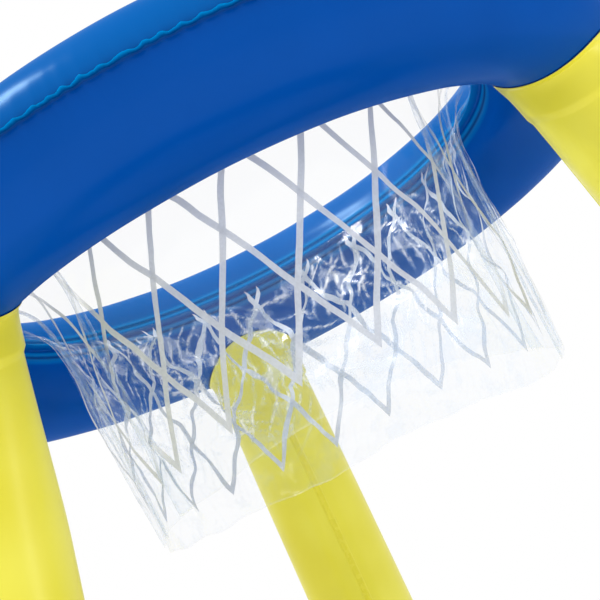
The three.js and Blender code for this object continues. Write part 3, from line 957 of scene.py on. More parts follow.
@dataclass
class InflatedLeg:
    """One yellow tube between the rings, welded to each by a lip that follows the ring."""

    name: str
    azimuth: float
    hoop: InflatedRing
    base: InflatedRing
    top_radius: float = 31 * MM
    foot_radius: float = 34 * MM
    lip: float = 7 * MM
    swell: float = 1.0
    weld_tilt: float = math.radians(5)
    weld_lift: float = 1.3 * MM
    flare: float = 1.6 * MM
    flare_reach: float = 3.2 * MM
    collar: float = 18 * MM
    collar_step: float = 1.8 * MM
    collar_ramp: float = 0.6 * MM
    lap_half: float = 2.0 * MM
    lap_rise: float = 0.55 * MM
    blend_length: float = 95 * MM
    # The dark line painted round each lip as shadow: its radius, its offset beyond the lip in
    # radii, its points and sides
    bead: float = 0.55 * MM
    bead_offset: float = 0.6
    bead_points: int = 160
    bead_sides: int = 8
    lip_weld: float = 0.55
    collar_weld: float = 0.4
    end_margin: float = 0.0025
    rows: int = 150
    columns: int = 128
    # Share of the lip's width inwards from its edge, and height above the ring in millimetres
    lip_profile: tuple[tuple[float, float], ...] = (
        (0.0, 0.05), (0.03, 0.75), (0.25, 0.95), (0.67, 1.0), (1.0, 1.3))
    # Across the lap seam, in halves of its width: its columns, its edge and where it has ended
    lap_columns: tuple[float, ...] = (-1.25, -1.0, -0.8, 0.0, 0.8, 1.0, 1.25)
    lap_edge: tuple[float, float] = (0.85, 1.1)
    lap_end: float = 1.3

    @property
    def welds(self) -> tuple[Weld, Weld]:
        """The welds on the hoop and on the base."""
        return (Weld(self.hoop, -math.pi / 2 - self.weld_tilt, 1.0, self.top_radius),
                Weld(self.base, math.pi / 2, -1.0, self.foot_radius))

    def turns(self) -> np.ndarray:
        """Angles of the columns, closer together at the lap seam that faces the ring's axis."""
        even = np.linspace(0.0, math.tau, self.columns, endpoint=False)
        lap = math.pi + np.array(self.lap_columns) * self.lap_half / self.top_radius
        clear = np.abs(even - math.pi) > self.lap_end * self.lap_half / self.top_radius
        return np.sort(np.concatenate([even[clear], lap]))

    def surface(self) -> tuple[np.ndarray, np.ndarray]:
        """The leg's film, from the lip on the hoop to the lip on the base.

        Returns:
            Points by row and column, and how much each is welded double.
        """
        turns = self.turns()
        at_top, at_foot = self.welds
        top, foot = at_top.centre(), at_foot.centre()
        length = float(np.linalg.norm(foot - top))
        axis = (foot - top) / length
        sideways = np.array([0.0, 1.0, 0.0])
        out = np.cross(axis, sideways)
        arc = (1.0 - np.cos(np.linspace(0.0, math.pi, self.rows))) / 2
        lap = self._lap(turns)
        body, welds = [], []
        for share in arc * (1.0 - 2 * self.end_margin) + self.end_margin:
            down, up = share * length, (1.0 - share) * length
            grown = share ** self.swell
            radius = self.top_radius + (self.foot_radius - self.top_radius) * grown
            near_weld = min(down, up)
            flare = self.flare * math.exp(-near_weld / self.flare_reach)
            band = self.collar_step * float(1.0 - smooth_step(
                near_weld, self.collar, self.collar + self.collar_ramp))
            wide = radius + flare + band + lap * self.lap_rise
            ring_top = at_top.loop(turns, wide, self.weld_lift)
            ring_foot = at_foot.loop(turns, wide, self.weld_lift)
            round_leg = (top + axis * down + out * (wide * np.cos(turns))[:, None]
                         + sideways * (wide * np.sin(turns))[:, None])
            by_top = 1.0 - float(smooth_step(down, 0.0, self.blend_length))
            by_foot = 1.0 - float(smooth_step(up, 0.0, self.blend_length))
            body.append(round_leg * (1.0 - by_top - by_foot) + (ring_top + axis * down) * by_top
                        + (ring_foot - axis * up) * by_foot)
            welds.append(np.maximum(lap, band / self.collar_step * self.collar_weld))
        rows = self._lip(at_top, turns) + body + self._lip(at_foot, turns)[::-1]
        plain = [np.full(len(turns), self.lip_weld)] * len(self.lip_profile)
        return np.array(rows), np.array(plain + welds + plain)

    def _lip(self, weld: Weld, turns: np.ndarray) -> list[np.ndarray]:
        """Rows of the lip at a weld, from its edge inwards."""
        start = self.flare + self.collar_step
        return [weld.loop(turns, weld.radius + (self.lip - inwards * (self.lip - start)), lift * MM)
                for inwards, lift in self.lip_profile]

    def _lap(self, turns: np.ndarray) -> np.ndarray:
        """How much of the lap seam's rise each column has."""
        off = np.abs(turns - math.pi) * self.top_radius
        first, last = self.lap_edge
        return 1.0 - smooth_step(off, first * self.lap_half, last * self.lap_half)

    def gap_shadow_piece(self, name: str, weld: Weld, material: bpy.types.Material) -> bpy.types.Object:
        """The thin dark line round a lip: painted shadow for the gap under the lip's edge.

        Args:
            name: The piece's name.
            weld: The lip's weld.
            material: The line's finish.

        Returns:
            The piece.
        """
        ring = weld.ring
        recipe = Recipe(name, {
            "Ring Radius": ring.radius, "Tube Radius": ring.tube, "Centre Height": ring.centre_z,
            "Weld Azimuth": self.azimuth, "Weld Angle": weld.angle, "Way": weld.way,
            "Loop Radius": weld.radius + self.lip + self.bead * self.bead_offset,
            "Bead": self.bead, "Points": self.bead_points, "Material": material,
        })
        size = recipe.size
        circle = recipe.node("GeometryNodeCurvePrimitiveCircle", {"mode": "RADIUS"},
                             {"Resolution": size("Points"), "Radius": size("Loop Radius")})
        x, y, _ = recipe.split(recipe.position())
        angle = size("Weld Angle") + x * size("Way") / size("Tube Radius")
        film = size("Ring Radius") + size("Tube Radius") * angle.math("COSINE")
        azimuth = size("Weld Azimuth") + y / film
        height = size("Centre Height") + size("Tube Radius") * angle.math("SINE")
        path = recipe.move(recipe.out(circle), recipe.join(
            film * azimuth.math("COSINE"), film * azimuth.math("SINE"), height))
        section = recipe.node("GeometryNodeCurvePrimitiveCircle", {"mode": "RADIUS"},
                              {"Resolution": self.bead_sides, "Radius": size("Bead")})
        tube = recipe.node("GeometryNodeCurveToMesh",
                           inputs={"Curve": path, "Profile Curve": section})
        return recipe.bake(name, recipe.out(tube))

    def build(self, material: bpy.types.Material, gap_shadow_material: bpy.types.Material) -> None:
        """Builds the leg and the painted shadow line round each lip and puts them on the frame.

        Args:
            material: The leg's finish.
            gap_shadow_material: The finish of the painted shadow line round each lip.
        """
        points, welds = self.surface()
        cos, sin = math.cos(self.azimuth), math.sin(self.azimuth)
        turned = points @ np.array([[cos, sin, 0.0], [-sin, cos, 0.0], [0.0, 0.0, 1.0]])
        piece = sheet_mesh(f"{self.name}_skin", turned, material)
        store_shares(piece, "weld", welds)
        settle(piece, Body.FLOAT.value, "leg_vinyl", self.name)
        for end, weld in zip(("top", "foot"), self.welds):
            line = self.gap_shadow_piece(f"{self.name}_{end}_weld", weld, gap_shadow_material)
            settle(line, Body.FLOAT.value, f"{weld.ring.name}_vinyl")


@dataclass(frozen=True)
class Oval:
    """The net's outline at one depth: a mean radius and what each side adds, in millimetres."""

    mean: float
    ends: float
    shift: float
    right: float
    left: float

    def radius(self, bearing: np.ndarray) -> np.ndarray:
        """The outline's radius at each bearing from the front, in metres."""
        return (self.mean + self.ends * np.cos(2 * bearing) + self.shift * np.sin(bearing)
                + self.right * side_share(bearing) + self.left * side_share(-bearing)) * MM


@dataclass(frozen=True)
class Crumple:
    """Flat facets with sharp ridges, which film keeps when it has been crushed."""

    width: float
    length: float
    headings: int = 3
    bend: float = 0.3
    bend_turns: tuple[int, int] = (2, 7)
    bend_downs: tuple[float, float] = (0.5, 1.5)
    spell_turns: tuple[int, int] = (5, 13)
    spell_downs: tuple[float, float] = (0.6, 2.4)
    spell_glint: float = 0.72
    crease_width: float = 1.5 * MM

    def relief(self, along: np.ndarray, depth: np.ndarray, seed: int,
               sizes: Sequence[tuple[float, float, float]]) -> tuple[np.ndarray, np.ndarray]:
        """Works out one crumple of the film.

        Args:
            along: Distances round the film, as a row.
            depth: Distances down the film, as a column.
            seed: Which crumple.
            sizes: For each layer the facets' size and height in millimetres, and how strongly
            its ridges are painted with white glints.

        Returns:
            Height in metres, and the share of a ridge, by row and column.
        """
        rng = np.random.default_rng(seed)
        turn, down = along / self.width, depth / self.length
        height = np.zeros(np.broadcast(turn, down).shape)
        ridges = np.zeros_like(height)
        for size, depth_mm, glinting in sizes:
            for _ in range(self.headings):
                heading = rng.uniform(0.0, math.pi)
                across = round(self.width / (size * MM) * math.cos(heading))
                downs = self.length / (size * MM) * math.sin(heading)
                bend = self.bend * np.sin(math.tau * (
                    turn * rng.integers(*self.bend_turns) + down * rng.uniform(*self.bend_downs)))
                phase = turn * across + down * downs + bend + rng.uniform()
                saw = np.abs((phase % 1.0) * 2.0 - 1.0)
                spell = np.sin(math.tau * (
                    turn * rng.integers(*self.spell_turns) + down * rng.uniform(*self.spell_downs)
                    + rng.uniform())) * 0.5 + 0.5
                height = height + (saw * 2.0 - 1.0) * spell * depth_mm * MM
                to_ridge = np.minimum(saw, 1.0 - saw) * size * MM / 2
                line = np.clip(1.0 - to_ridge / self.crease_width, 0.0, 1.0)
                white = smooth_step(spell, self.spell_glint, 1.0)
                ridges = np.maximum(ridges, line * glinting * white)
        return height, ridges


@dataclass
class NetFilm:
    """The clear tube of film: smooth at the front and back, gathered in folds at both sides."""

    seam_z: float
    top_radius: float = 145.18 * MM
    hem_edge: float = 150.5 * MM
    length: float = 144.6 * MM
    shoulder: Oval = Oval(mean=128.4, ends=16.4, shift=4.0, right=6.0, left=7.0)
    hem: Oval = Oval(mean=111.0, ends=9.5, shift=0.0, right=15.0, left=8.0)
    # Depths at which the two rows held in the hoop's seam are printed on the flat film
    held_depths: tuple[float, float] = (-5 * MM, -1 * MM)
    front: float = math.radians(-101.45)
    columns: int = 800
    rows: int = 96
    bearings: int = 1441
    halvings: int = 30
    row_crowding: float = 1.15
    draw_in: float = 11 * MM
    # Each tuck's place round the film from the front, its relative width, and the way it folds
    tucks: tuple[tuple[float, float, int], ...] = (
        (-243 * MM, 2.2, 1), (-178 * MM, 2.1, -1), (-104 * MM, 0.9, 1),
        (122 * MM, 0.7, -1), (176 * MM, 1.1, 1), (232 * MM, 1.1, -1))
    tuck_edge: float = 2.7 * MM
    widest_tuck: float = 40 * MM
    tuck_sway: float = 1 * MM
    sway_pitch: float = 30 * MM
    # Distance in millimetres from a tuck to where the gathering eases off, and to where it ends:
    # a length, and what the tuck's share adds to it
    gather_full: tuple[float, float] = (5, 6)
    gather_end: tuple[float, float] = (12, 8)
    fold_drift: float = 3.0
    ripple: float = 1.5 * MM
    ripples: int = 9
    ripple_phase: float = 0.7
    ripple_growth: tuple[float, float] = (0.05, 0.6)
    flutter: float = 1.4 * MM
    flutters: int = 5
    flutter_phase: float = 1.0
    # How far the hem drops at the sides and at the right, and how far it rises behind and in front
    drop: tuple[float, float, float, float] = (5.0, 7.0, 6.0, 2.5)
    crease_turns: tuple[float, float] = (150.0, 700.0)
    # Size and height in millimetres of each layer of facets, and how strongly its ridges get
    # painted glints
    broad_facets: tuple[tuple[float, float, float], ...] = ((52, 1.5, 1.0), (34, 1.0, 1.0))
    fine_facets: tuple[tuple[float, float, float], ...] = ((25, 0.8, 1.0), (15, 0.45, 0.7))
    hold_depths: tuple[float, float] = (1 * MM, 20 * MM)
    # Roughness by share of the way to the back and down the film, and its height and fall
    rough_back: tuple[float, float] = (0.35, 0.8)
    rough_down: tuple[float, float] = (0.3, 0.9)
    rough_height: float = 1.1
    rough_fall: float = 0.85
    broad_floor: float = 0.3
    gather_broad: float = 0.8
    gather_fine: float = 0.9
    ridge_glint: tuple[float, float] = (0.15, 0.8)
    pleat_glint: float = 0.3
    drawn_sides: tuple[float, float] = (0.6, 0.95)
    drawn_depths: tuple[float, float] = (12 * MM, 30 * MM)
    broad_seed: int = 7
    fine_seed: int = 17

    @property
    def flat_width(self) -> float:
        """The film's width before it was closed into a tube."""
        return math.tau * self.top_radius

    def guide(self, bearing: np.ndarray, depth: float) -> np.ndarray:
        """The mean radius of the film, without its folds.

        Args:
            bearing: Angle from the front, growing to the right.
            depth: Distance down the film.

        Returns:
            The radius.
        """
        shoulder, hem = self.shoulder.radius(bearing), self.hem.radius(bearing)
        drawn = 1.0 - math.exp(-depth / self.draw_in)
        share = depth / self.length
        return self.top_radius + (shoulder - self.top_radius) * drawn + (hem - shoulder) * share

    def _perimeter(self, depth: float) -> tuple[np.ndarray, np.ndarray]:
        """Bearings round the guide, and how far along it each is."""
        bearing = np.linspace(-math.pi, math.pi, self.bearings)
        radius = self.guide(bearing, depth)
        x, y = radius * np.cos(bearing), radius * np.sin(bearing)
        steps = np.hypot(np.diff(x), np.diff(y))
        return bearing, np.concatenate([[0.0], np.cumsum(steps)])

    def _heading(self, along: np.ndarray, depth: float, widest: float) -> np.ndarray:
        """Which way the film runs round the net, 0 straight on and pi straight back in a tuck.

        Args:
            along: Distance of each column round the flat film, 0 at the front.
            depth: Distance down the film.
            widest: Width of a tuck whose share is 1.

        Returns:
            Angles, positive towards the net's outside.
        """
        heading = np.zeros_like(along)
        share = depth / self.length
        for place, part, way in self.tucks:
            half = widest * part / 2
            strength = min(1.0, 2 * half / self.tuck_edge)
            middle = place + self.tuck_sway * math.sin(self.fold_drift * share
                                                       + place / self.sway_pitch)
            off = np.abs(along - middle)
            back = 1.0 - smooth_step(off, half - self.tuck_edge / 2, half + self.tuck_edge / 2)
            heading += way * math.pi * strength * back
        return heading

    def gather(self, along: np.ndarray) -> np.ndarray:
        """How near each column is to a tuck, from 0 to 1."""
        near = np.zeros_like(along)
        for place, part, _ in self.tucks:
            off = np.abs(along - place)
            full, end = ((length + more * part) * MM
                         for length, more in (self.gather_full, self.gather_end))
            near = np.maximum(near, 1.0 - smooth_step(off, full, end))
        return near

    def surface(self) -> tuple[np.ndarray, dict[str, np.ndarray]]:
        """Works out the film.

        Returns:
            Points by row and column, and the shares that its finish reads.
        """
        step = self.flat_width / self.columns
        along = (np.arange(self.columns) + 0.5) * step - self.flat_width / 2
        depths = self.depths()
        grid = np.array([self._row(along, step, float(depth)) for depth in depths])
        gather = self.gather(along)[None, :]
        hold = smooth_step(depths, *self.hold_depths)[:, None]
        share = depths[:, None] / self.length
        rear = 0.5 - 0.5 * np.cos(along[None, :] / self.flat_width * math.tau)
        fall = self.rough_height - self.rough_fall * smooth_step(share, *self.rough_down)
        rough = smooth_step(rear, *self.rough_back) * fall
        strength = hold * rough * (1.0 - self.gather_fine * gather)
        broad = hold * (rough + self.broad_floor) * (1.0 - self.gather_broad * gather)
        down = np.gradient(grid, axis=0)
        down /= np.linalg.norm(down, axis=-1, keepdims=True)
        out = grid_normals(grid)
        ridges = np.zeros_like(strength)
        crumple = Crumple(self.flat_width, self.length)
        row, column = along[None, :], depths[:, None]
        for number, way in enumerate((out, down, np.cross(down, out))):
            large, _ = crumple.relief(row, column, self.broad_seed + number, self.broad_facets)
            small, lines = crumple.relief(row, column, self.fine_seed + number, self.fine_facets)
            grid = grid + way * (large * broad + small * strength)[..., None]
            ridges = lines if number == 0 else ridges
        # Painted glints: white lines along sharp ridges and folds stand in for highlights
        pleats = self._crease_share(grid, step) * gather * self.pleat_glint
        glint_lines = np.maximum(ridges * smooth_step(strength, *self.ridge_glint), pleats)
        hem = np.zeros_like(strength)
        hem[-1] = 1.0
        aside = np.abs(np.sin(along[None, :] / self.flat_width * math.tau))
        below = smooth_step(depths, *self.drawn_depths)[:, None]
        drawn = smooth_step(aside, *self.drawn_sides) * (1.0 - below)
        shares = {"crease": glint_lines, "crumple": np.clip(strength, 0.0, 1.0), "hem": hem,
                  "gathered": np.maximum(gather, drawn)}
        still = np.zeros((2, self.columns))
        full = np.concatenate([self._weld_hem(along), grid])
        return full, {name: np.concatenate([still, value]) for name, value in shares.items()}

    def depths(self) -> np.ndarray:
        """Depths of the rows, closer together near the hoop."""
        return self.length * np.linspace(0.0, 1.0, self.rows) ** self.row_crowding

    def _weld_hem(self, along: np.ndarray) -> np.ndarray:
        """The two rows of film that are held in the hoop's inner seam."""
        bearing = along / self.flat_width * math.tau + self.front
        return np.array([np.stack([radius * np.cos(bearing), radius * np.sin(bearing),
                                   np.full_like(bearing, self.seam_z)], -1)
                         for radius in (self.hem_edge, self.top_radius + 1 * MM)])

    def _row(self, along: np.ndarray, step: float, depth: float) -> np.ndarray:
        """One row of the film, tucked so that its length stays that of the flat film.

        Args:
            along: Distance of each column round the flat film, 0 at the front.
            step: Distance between columns.
            depth: Distance down the film.

        Returns:
            The points.
        """
        bearings, mileage = self._perimeter(depth)
        narrow, wide = 0.0, self.widest_tuck
        for _ in range(self.halvings):
            widest = (narrow + wide) / 2
            if np.cos(self._heading(along, depth, widest)).sum() * step > mileage[-1]:
                narrow = widest
            else:
                wide = widest
        heading = self._heading(along, depth, widest)
        forward = np.cos(heading) * step
        travel = np.cumsum(forward) - forward / 2
        travel *= mileage[-1] / forward.sum()
        travel += np.interp(0.0, bearings, mileage) - np.interp(0.0, along, travel)
        sway = np.cumsum(np.sin(heading) * step)
        sway -= sway[-1] * np.linspace(0.0, 1.0, len(sway))
        bearing = np.interp(travel % mileage[-1], mileage, bearings)
        radius = self.guide(bearing, depth) + sway
        share = depth / self.length
        ripple = self.ripple * np.sin(bearing * self.ripples + self.fold_drift * share
                                      + self.ripple_phase)
        radius = radius + ripple * float(smooth_step(np.float64(share), *self.ripple_growth))
        flutter = self.flutter * np.sin(bearing * self.flutters + self.flutter_phase) * share
        rear = (0.5 - 0.5 * np.cos(bearing)) ** 2
        front = (0.5 + 0.5 * np.cos(bearing)) ** 2
        aside, to_right, behind, before = self.drop
        droop = (aside * np.sin(bearing) ** 2 + to_right * side_share(bearing)
                 - behind * rear - before * front) * MM * share
        height = self.seam_z - depth + flutter - droop
        azimuth = bearing + self.front
        return np.stack([radius * np.cos(azimuth), radius * np.sin(azimuth), height], -1)

    def _crease_share(self, grid: np.ndarray, step: float) -> np.ndarray:
        """How sharply the film turns at each point, from 0 to 1."""
        normals = grid_normals(grid)
        round_turn = np.linalg.norm(np.roll(normals, -1, 1) - np.roll(normals, 1, 1), axis=-1)
        down_turn = np.zeros_like(round_turn)
        down_turn[1:-1] = np.linalg.norm(normals[2:] - normals[:-2], axis=-1)
        turn = np.sqrt(round_turn ** 2 + down_turn ** 2) / (2 * step)
        return smooth_step(turn, *self.crease_turns)

    def build(self, finish: ClearFilm) -> bpy.types.Object:
        """Builds the film and puts it on the frame.

        Args:
            finish: The film's finish.

        Returns:
            The piece.
        """
        points, shares = self.surface()
        depths = np.concatenate([self.held_depths, self.depths()])
        turn = (np.arange(self.columns + 1) + 0.5) / self.columns
        uv = np.stack(np.broadcast_arrays(turn[None, :], depths[:, None]), -1)
        piece = sheet_mesh("net_film_sheet", points, finish.material(), uv)
        for name, value in shares.items():
            store_shares(piece, name, value)
        settle(piece, Body.FLOAT.value, "net_film", "net_film")
        return piece


@dataclass
class PrintedLattice:
    """White lines printed on the film: two families that cross and end in points."""

    film: NetFilm
    diamonds: int = 24
    row_height: float = 37 * MM
    start_depth: float = 6 * MM
    tip_depth: float = 125.6 * MM
    tip_azimuth: float = math.radians(-104.8)
    line_width: float = 3 * MM
    lift: float = 0.14 * MM
    second_lift: float = 0.5
    points_across: int = 3
    pieces_along: int = 110

    def build(self, sheet: bpy.types.Object, ink: Ink) -> None:
        """Prints the lines on the finished film.

        Args:
            sheet: The film.
            ink: The lines' finish.
        """
        column = self.film.flat_width / (2 * self.diamonds)
        slope = math.atan2(column, self.row_height)
        recipe = Recipe("net_print", {
            "Film": sheet, "Diamonds": self.diamonds, "Row Height": self.row_height,
            "Start Depth": self.start_depth, "Tip Depth": self.tip_depth,
            "Tip Turn": (self.tip_azimuth - self.film.front) / math.tau + 0.5,
            "First Turn": 0.5 / self.film.columns,
            "Line Drop": self.line_width / math.sin(slope), "Lift": self.lift,
            "Points Along": self.pieces_along + 1, "Material": ink.material(),
        })
        piece = recipe.bake("net_print_lines", self._lines(recipe))
        settle(piece, Body.FLOAT.value, "net_print", "net_printed_lattice")

    def _lines(self, recipe: Recipe) -> Wire:
        """Adds the nodes that lay flat strips on the film.

        Args:
            recipe: The print's tree.

        Returns:
            The strips in place.
        """
        size = recipe.size
        strip = recipe.node("GeometryNodeMeshGrid", inputs={
            "Size X": 1.0, "Size Y": 1.0,
            "Vertices X": size("Points Along"), "Vertices Y": self.points_across})
        single = recipe.node("GeometryNodeGeometryToInstance", inputs={0: strip})
        copies = recipe.node("GeometryNodeDuplicateElements", {"domain": "INSTANCE"},
                             {"Geometry": single, "Amount": size("Diamonds") * 2.0})
        numbered = recipe.node("GeometryNodeStoreNamedAttribute",
                               {"data_type": "FLOAT", "domain": "INSTANCE"},
                               {"Geometry": copies, "Name": "copy",
                                "Value": recipe.out(copies, "Duplicate Index")})
        real = recipe.node("GeometryNodeRealizeInstances", inputs={0: numbered})
        copy = recipe.stored("copy")
        second = copy.math("GREATER_THAN", size("Diamonds") - 0.5)
        lean = 1.0 - second * 2.0
        x, y, _ = recipe.split(recipe.position())
        run = x + 0.5
        drop = size("Tip Depth") - size("Start Depth")
        climb = (1.0 - run) * drop / size("Row Height")
        columns = size("Diamonds") * 2.0
        turn = size("Tip Turn") + copy / size("Diamonds") + lean * climb / columns
        depth = size("Start Depth") + run * drop + y * size("Line Drop")
        first = size("First Turn")
        wrapped = recipe.join((turn - first).math("FRACT") + first, depth, 0.0)
        film = recipe.node("GeometryNodeObjectInfo", {"transform_space": "ORIGINAL"},
                           {"Object": size("Film")})
        chart = recipe.stored("film", "FLOAT_VECTOR")
        normal = recipe.node("GeometryNodeInputNormal")
        spots = []
        for kind, value in (("FLOAT_VECTOR", recipe.position()), ("FLOAT_VECTOR", normal),
                            ("FLOAT", recipe.stored("gathered"))):
            sample = recipe.node("GeometryNodeSampleUVSurface", {"data_type": kind}, {
                "Mesh": recipe.out(film, "Geometry"), "Value": value,
                "Source UV Map": chart, "Sample UV": wrapped})
            spots.append(recipe.out(sample, "Value"))
        rise = size("Lift") * (1.0 + second * self.second_lift)
        above = recipe.node("ShaderNodeVectorMath", {"operation": "MULTIPLY_ADD"},
                            {0: spots[1], 1: recipe.join(rise, rise, rise), 2: spots[0]})
        marked = recipe.store(recipe.out(real), "gathered", spots[2])
        return recipe.move(marked, recipe.out(above))


@dataclass
class AirValve:
    """A push-in valve: a welded flange, a thin web, a stem, and a cap on a strap."""

    name: str
    ring: InflatedRing
    flange_radius: float = 17 * MM
    flange_thickness: float = 1 * MM
    bore: float = 12 * MM
    seat: float = 0.4 * MM
    web: float = 0.8 * MM
    web_rise: float = 2.6 * MM
    stem_radius: float = 6 * MM
    stem_bore: float = 4 * MM
    stem_height: float = 14 * MM
    stem_depth: float = 2 * MM
    collar_radius: float = 8 * MM
    collar: float = 2 * MM
    collar_bevel: float = 0.4 * MM
    collar_drop: float = 4 * MM
    flap_radius: float = 5 * MM
    flap: float = 0.8 * MM
    cap_radius: float = 7.5 * MM
    cap: float = 1.6 * MM
    cap_bevel: float = 0.5 * MM
    plug_clearance: float = 0.6 * MM
    plug_length: float = 5 * MM
    plug_taper: float = 1 * MM
    strap_width: float = 4 * MM
    strap: float = 1 * MM
    strap_foot: float = 1.7 * MM
    gap: float = 0.3 * MM
    edge: float = 0.2 * MM
    rim_slope: float = 0.6 * MM
    rim_edge: float = 0.15 * MM
    rim_drop: float = 0.35 * MM
    weld_half: float = 0.6 * MM
    weld_depth: float = 0.3 * MM
    web_overlap: float = 0.8 * MM
    web_clearance: float = 0.05 * MM
    web_rows: int = 9
    web_hold: float = 0.7 * MM
    soft_edge: float = 0.25 * MM
    soft_strap: float = 0.3 * MM
    soft_flap: float = 0.15 * MM
    bevel_steps: int = 3
    sharpest: float = math.radians(25)
    sides: int = 72

    def frame(self) -> Matrix:
        """Where the valve sits: Z out of the tube, X down its side and Y along the ring."""
        azimuth, tilt = self.ring.valve_azimuth, self.ring.valve_tilt
        origin = Vector(self.ring.on_tube(azimuth, tilt, 0.0).tolist())
        out = (Vector(self.ring.on_tube(azimuth, tilt, 1.0).tolist()) - origin).normalized()
        along = Vector((-math.sin(azimuth), math.cos(azimuth), 0.0))
        down = along.cross(out)
        turn = Matrix((down, along, out)).transposed().to_4x4()
        return Matrix.Translation(origin) @ turn

    def revolved(self, name: str, profile: Sequence[tuple[float, float]],
                 material: bpy.types.Material, soften: float) -> bpy.types.Object:
        """Turns a closed profile round the valve's axis and softens its edges.

        Args:
            name: The piece's name.
            profile: Pairs of radius and height.
            material: Its finish.
            soften: The width of its bevels.

        Returns:
            The piece, in place.
        """
        loops, points, faces = [], [], []
        for radius, height in profile:
            if radius <= 0.0:
                loops.append([len(points)])
                points.append((0.0, 0.0, height))
                continue
            loops.append(list(range(len(points), len(points) + self.sides)))
            points += [(radius * math.cos(math.tau * i / self.sides),
                        radius * math.sin(math.tau * i / self.sides), height)
                       for i in range(self.sides)]
        pairs = list(zip(loops, loops[1:]))
        if len(loops[0]) > 1:
            pairs.append((loops[-1], loops[0]))
        for below, above in pairs:
            for i in range(self.sides):
                j = (i + 1) % self.sides
                corner = [below[i % len(below)], below[j % len(below)],
                          above[j % len(above)], above[i % len(above)]]
                face = list(dict.fromkeys(corner))
                if len(face) > 2:
                    faces.append(face)
        mesh = bpy.data.meshes.new(name)
        mesh.from_pydata(points, [], faces)
        return self._softened(name, mesh, material, soften)

    def _softened(self, name: str, mesh: bpy.types.Mesh, material: bpy.types.Material,
                  soften: float) -> bpy.types.Object:
        """Bevels a mesh's sharp edges and puts it in the valve's place."""
        mesh.transform(self.frame())
        mesh.materials.append(material)
        mesh.shade_smooth()
        piece = place_mesh(name, mesh)
        bevel = piece.modifiers.new("soften", "BEVEL")
        bevel.width = soften
        bevel.segments = self.bevel_steps
        bevel.limit_method = "ANGLE"
        bevel.angle_limit = self.sharpest
        bevel.harden_normals = True
        apply_modifiers(piece)
        close_shell(piece.data)
        return piece

    def _film_loop(self, radius: float, lift: float) -> np.ndarray:
        """A loop round the valve's axis that follows the tube, at a lift above it."""
        turns = np.linspace(0.0, math.tau, self.sides, endpoint=False)
        centre = (self.ring.valve_azimuth, self.ring.valve_tilt)
        return self.ring.on_film(centre, -radius * np.cos(turns), radius * np.sin(turns), lift)

    def _shell(self, name: str, rows: list[np.ndarray],
               material: bpy.types.Material) -> bpy.types.Object:
        """Joins loops, the last one to the first, into a closed piece.

        Args:
            name: The piece's name.
            rows: Its loops, in order.
            material: Its finish.

        Returns:
            The piece.
        """
        piece = sheet_mesh(name, np.array(rows + rows[:1]), material)
        close_shell(piece.data, SAME_PLACE)
        return piece

    def flange_piece(self, material: bpy.types.Material) -> bpy.types.Object:
        """The welded flange, bent to the tube, with a raised weld line."""
        low, high = self.seat, self.seat + self.flange_thickness
        inner, outer = self.bore, self.flange_radius
        middle, half, deep = (inner + outer) / 2, self.weld_half, self.weld_depth
        profile = [(inner, low), (inner, high - self.edge), (inner + self.edge, high),
                   (middle - half - deep, high), (middle - half, high - deep),
                   (middle + half, high - deep), (middle + half + deep, high),
                   (outer - self.rim_slope, high),
                   (outer - self.rim_edge, high - self.rim_drop), (outer, low)]
        rows = [self._film_loop(radius, lift) for radius, lift in profile]
        return self._shell(f"{self.name}_flange_moulded", rows, material)

    def web_piece(self, material: bpy.types.Material) -> bpy.types.Object:
        """The thin web from within the flange up to the stem, its rim bent to the tube."""
        turns = np.linspace(0.0, math.tau, self.sides, endpoint=False)
        frame = np.array(self.frame())
        rim = self.bore + self.web_overlap
        neck = self.stem_radius + self.web_clearance
        shares = np.linspace(0.0, 1.0, self.web_rows)
        rows = []
        for way, order in ((1.0, shares), (-1.0, shares[::-1])):
            lift = self.seat + self.flange_thickness / 2 + way * self.web / 2
            outer = self._film_loop(rim, lift)
            rise = np.full(self.sides, self.web_rise + way * self.web / 2)
            inner = np.stack([neck * np.cos(turns), neck * np.sin(turns), rise], -1)
            inner = inner @ frame[:3, :3].T + frame[:3, 3]
            rows += [outer * (1.0 - share) + inner * share for share in order]
        return self._shell(f"{self.name}_web_moulded", rows, material)

    def _settle_web(self, web: bpy.types.Object) -> None:
        """Hides the imported web, bakes the new web's place into its mesh and logs the bodies it
        spans.
        """
        frame = self.frame()
        stem = f"{self.ring.name}_{Body.STEM.value}"
        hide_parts(f"{self.name}_web")
        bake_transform(web)
        LOG.info("%s: %d faces from %s to %s", web.name, len(web.data.polygons),
                 Body.FLOAT.value, stem)

    def strap_piece(self, material: bpy.types.Material) -> bpy.types.Object:
        """The strap from the collar up and over to the cap."""
        low = self.stem_height - self.collar_drop - self.strap / 2
        high = self.stem_height + self.gap + self.strap
        root = self.collar_radius + self.gap
        tip = self.cap_radius + self.gap
        back = root + self.strap_foot + self.strap / 2
        front = back - self.strap
        side = [(root, low), (back, low), (back, high), (tip, high), (tip, high - self.strap),
                (front, high - self.strap), (front, low + self.strap), (root, low + self.strap)]
        half = self.strap_width / 2
        points = [(x, y, z) for y in (-half, half) for x, z in side]
        count = len(side)
        faces = [list(range(count)), list(range(2 * count - 1, count - 1, -1))]
        faces += [[i, (i + 1) % count, count + (i + 1) % count, count + i] for i in range(count)]
        mesh = bpy.data.meshes.new(f"{self.name}_strap_moulded")
        mesh.from_pydata(points, [], faces)
        return self._softened(f"{self.name}_strap_moulded", mesh, material, self.soft_strap)

    def build(self, material: bpy.types.Material, clear: bpy.types.Material) -> None:
        """Builds the valve and puts each piece but the web on its body.

        Args:
            material: The moulded pieces' finish.
            clear: The flap's finish.
        """
        body = self.ring.name
        flange = self.flange_piece(material)
        settle(flange, Body.FLOAT.value, "valve", f"{self.name}_flange")

        self._settle_web(self.web_piece(material))

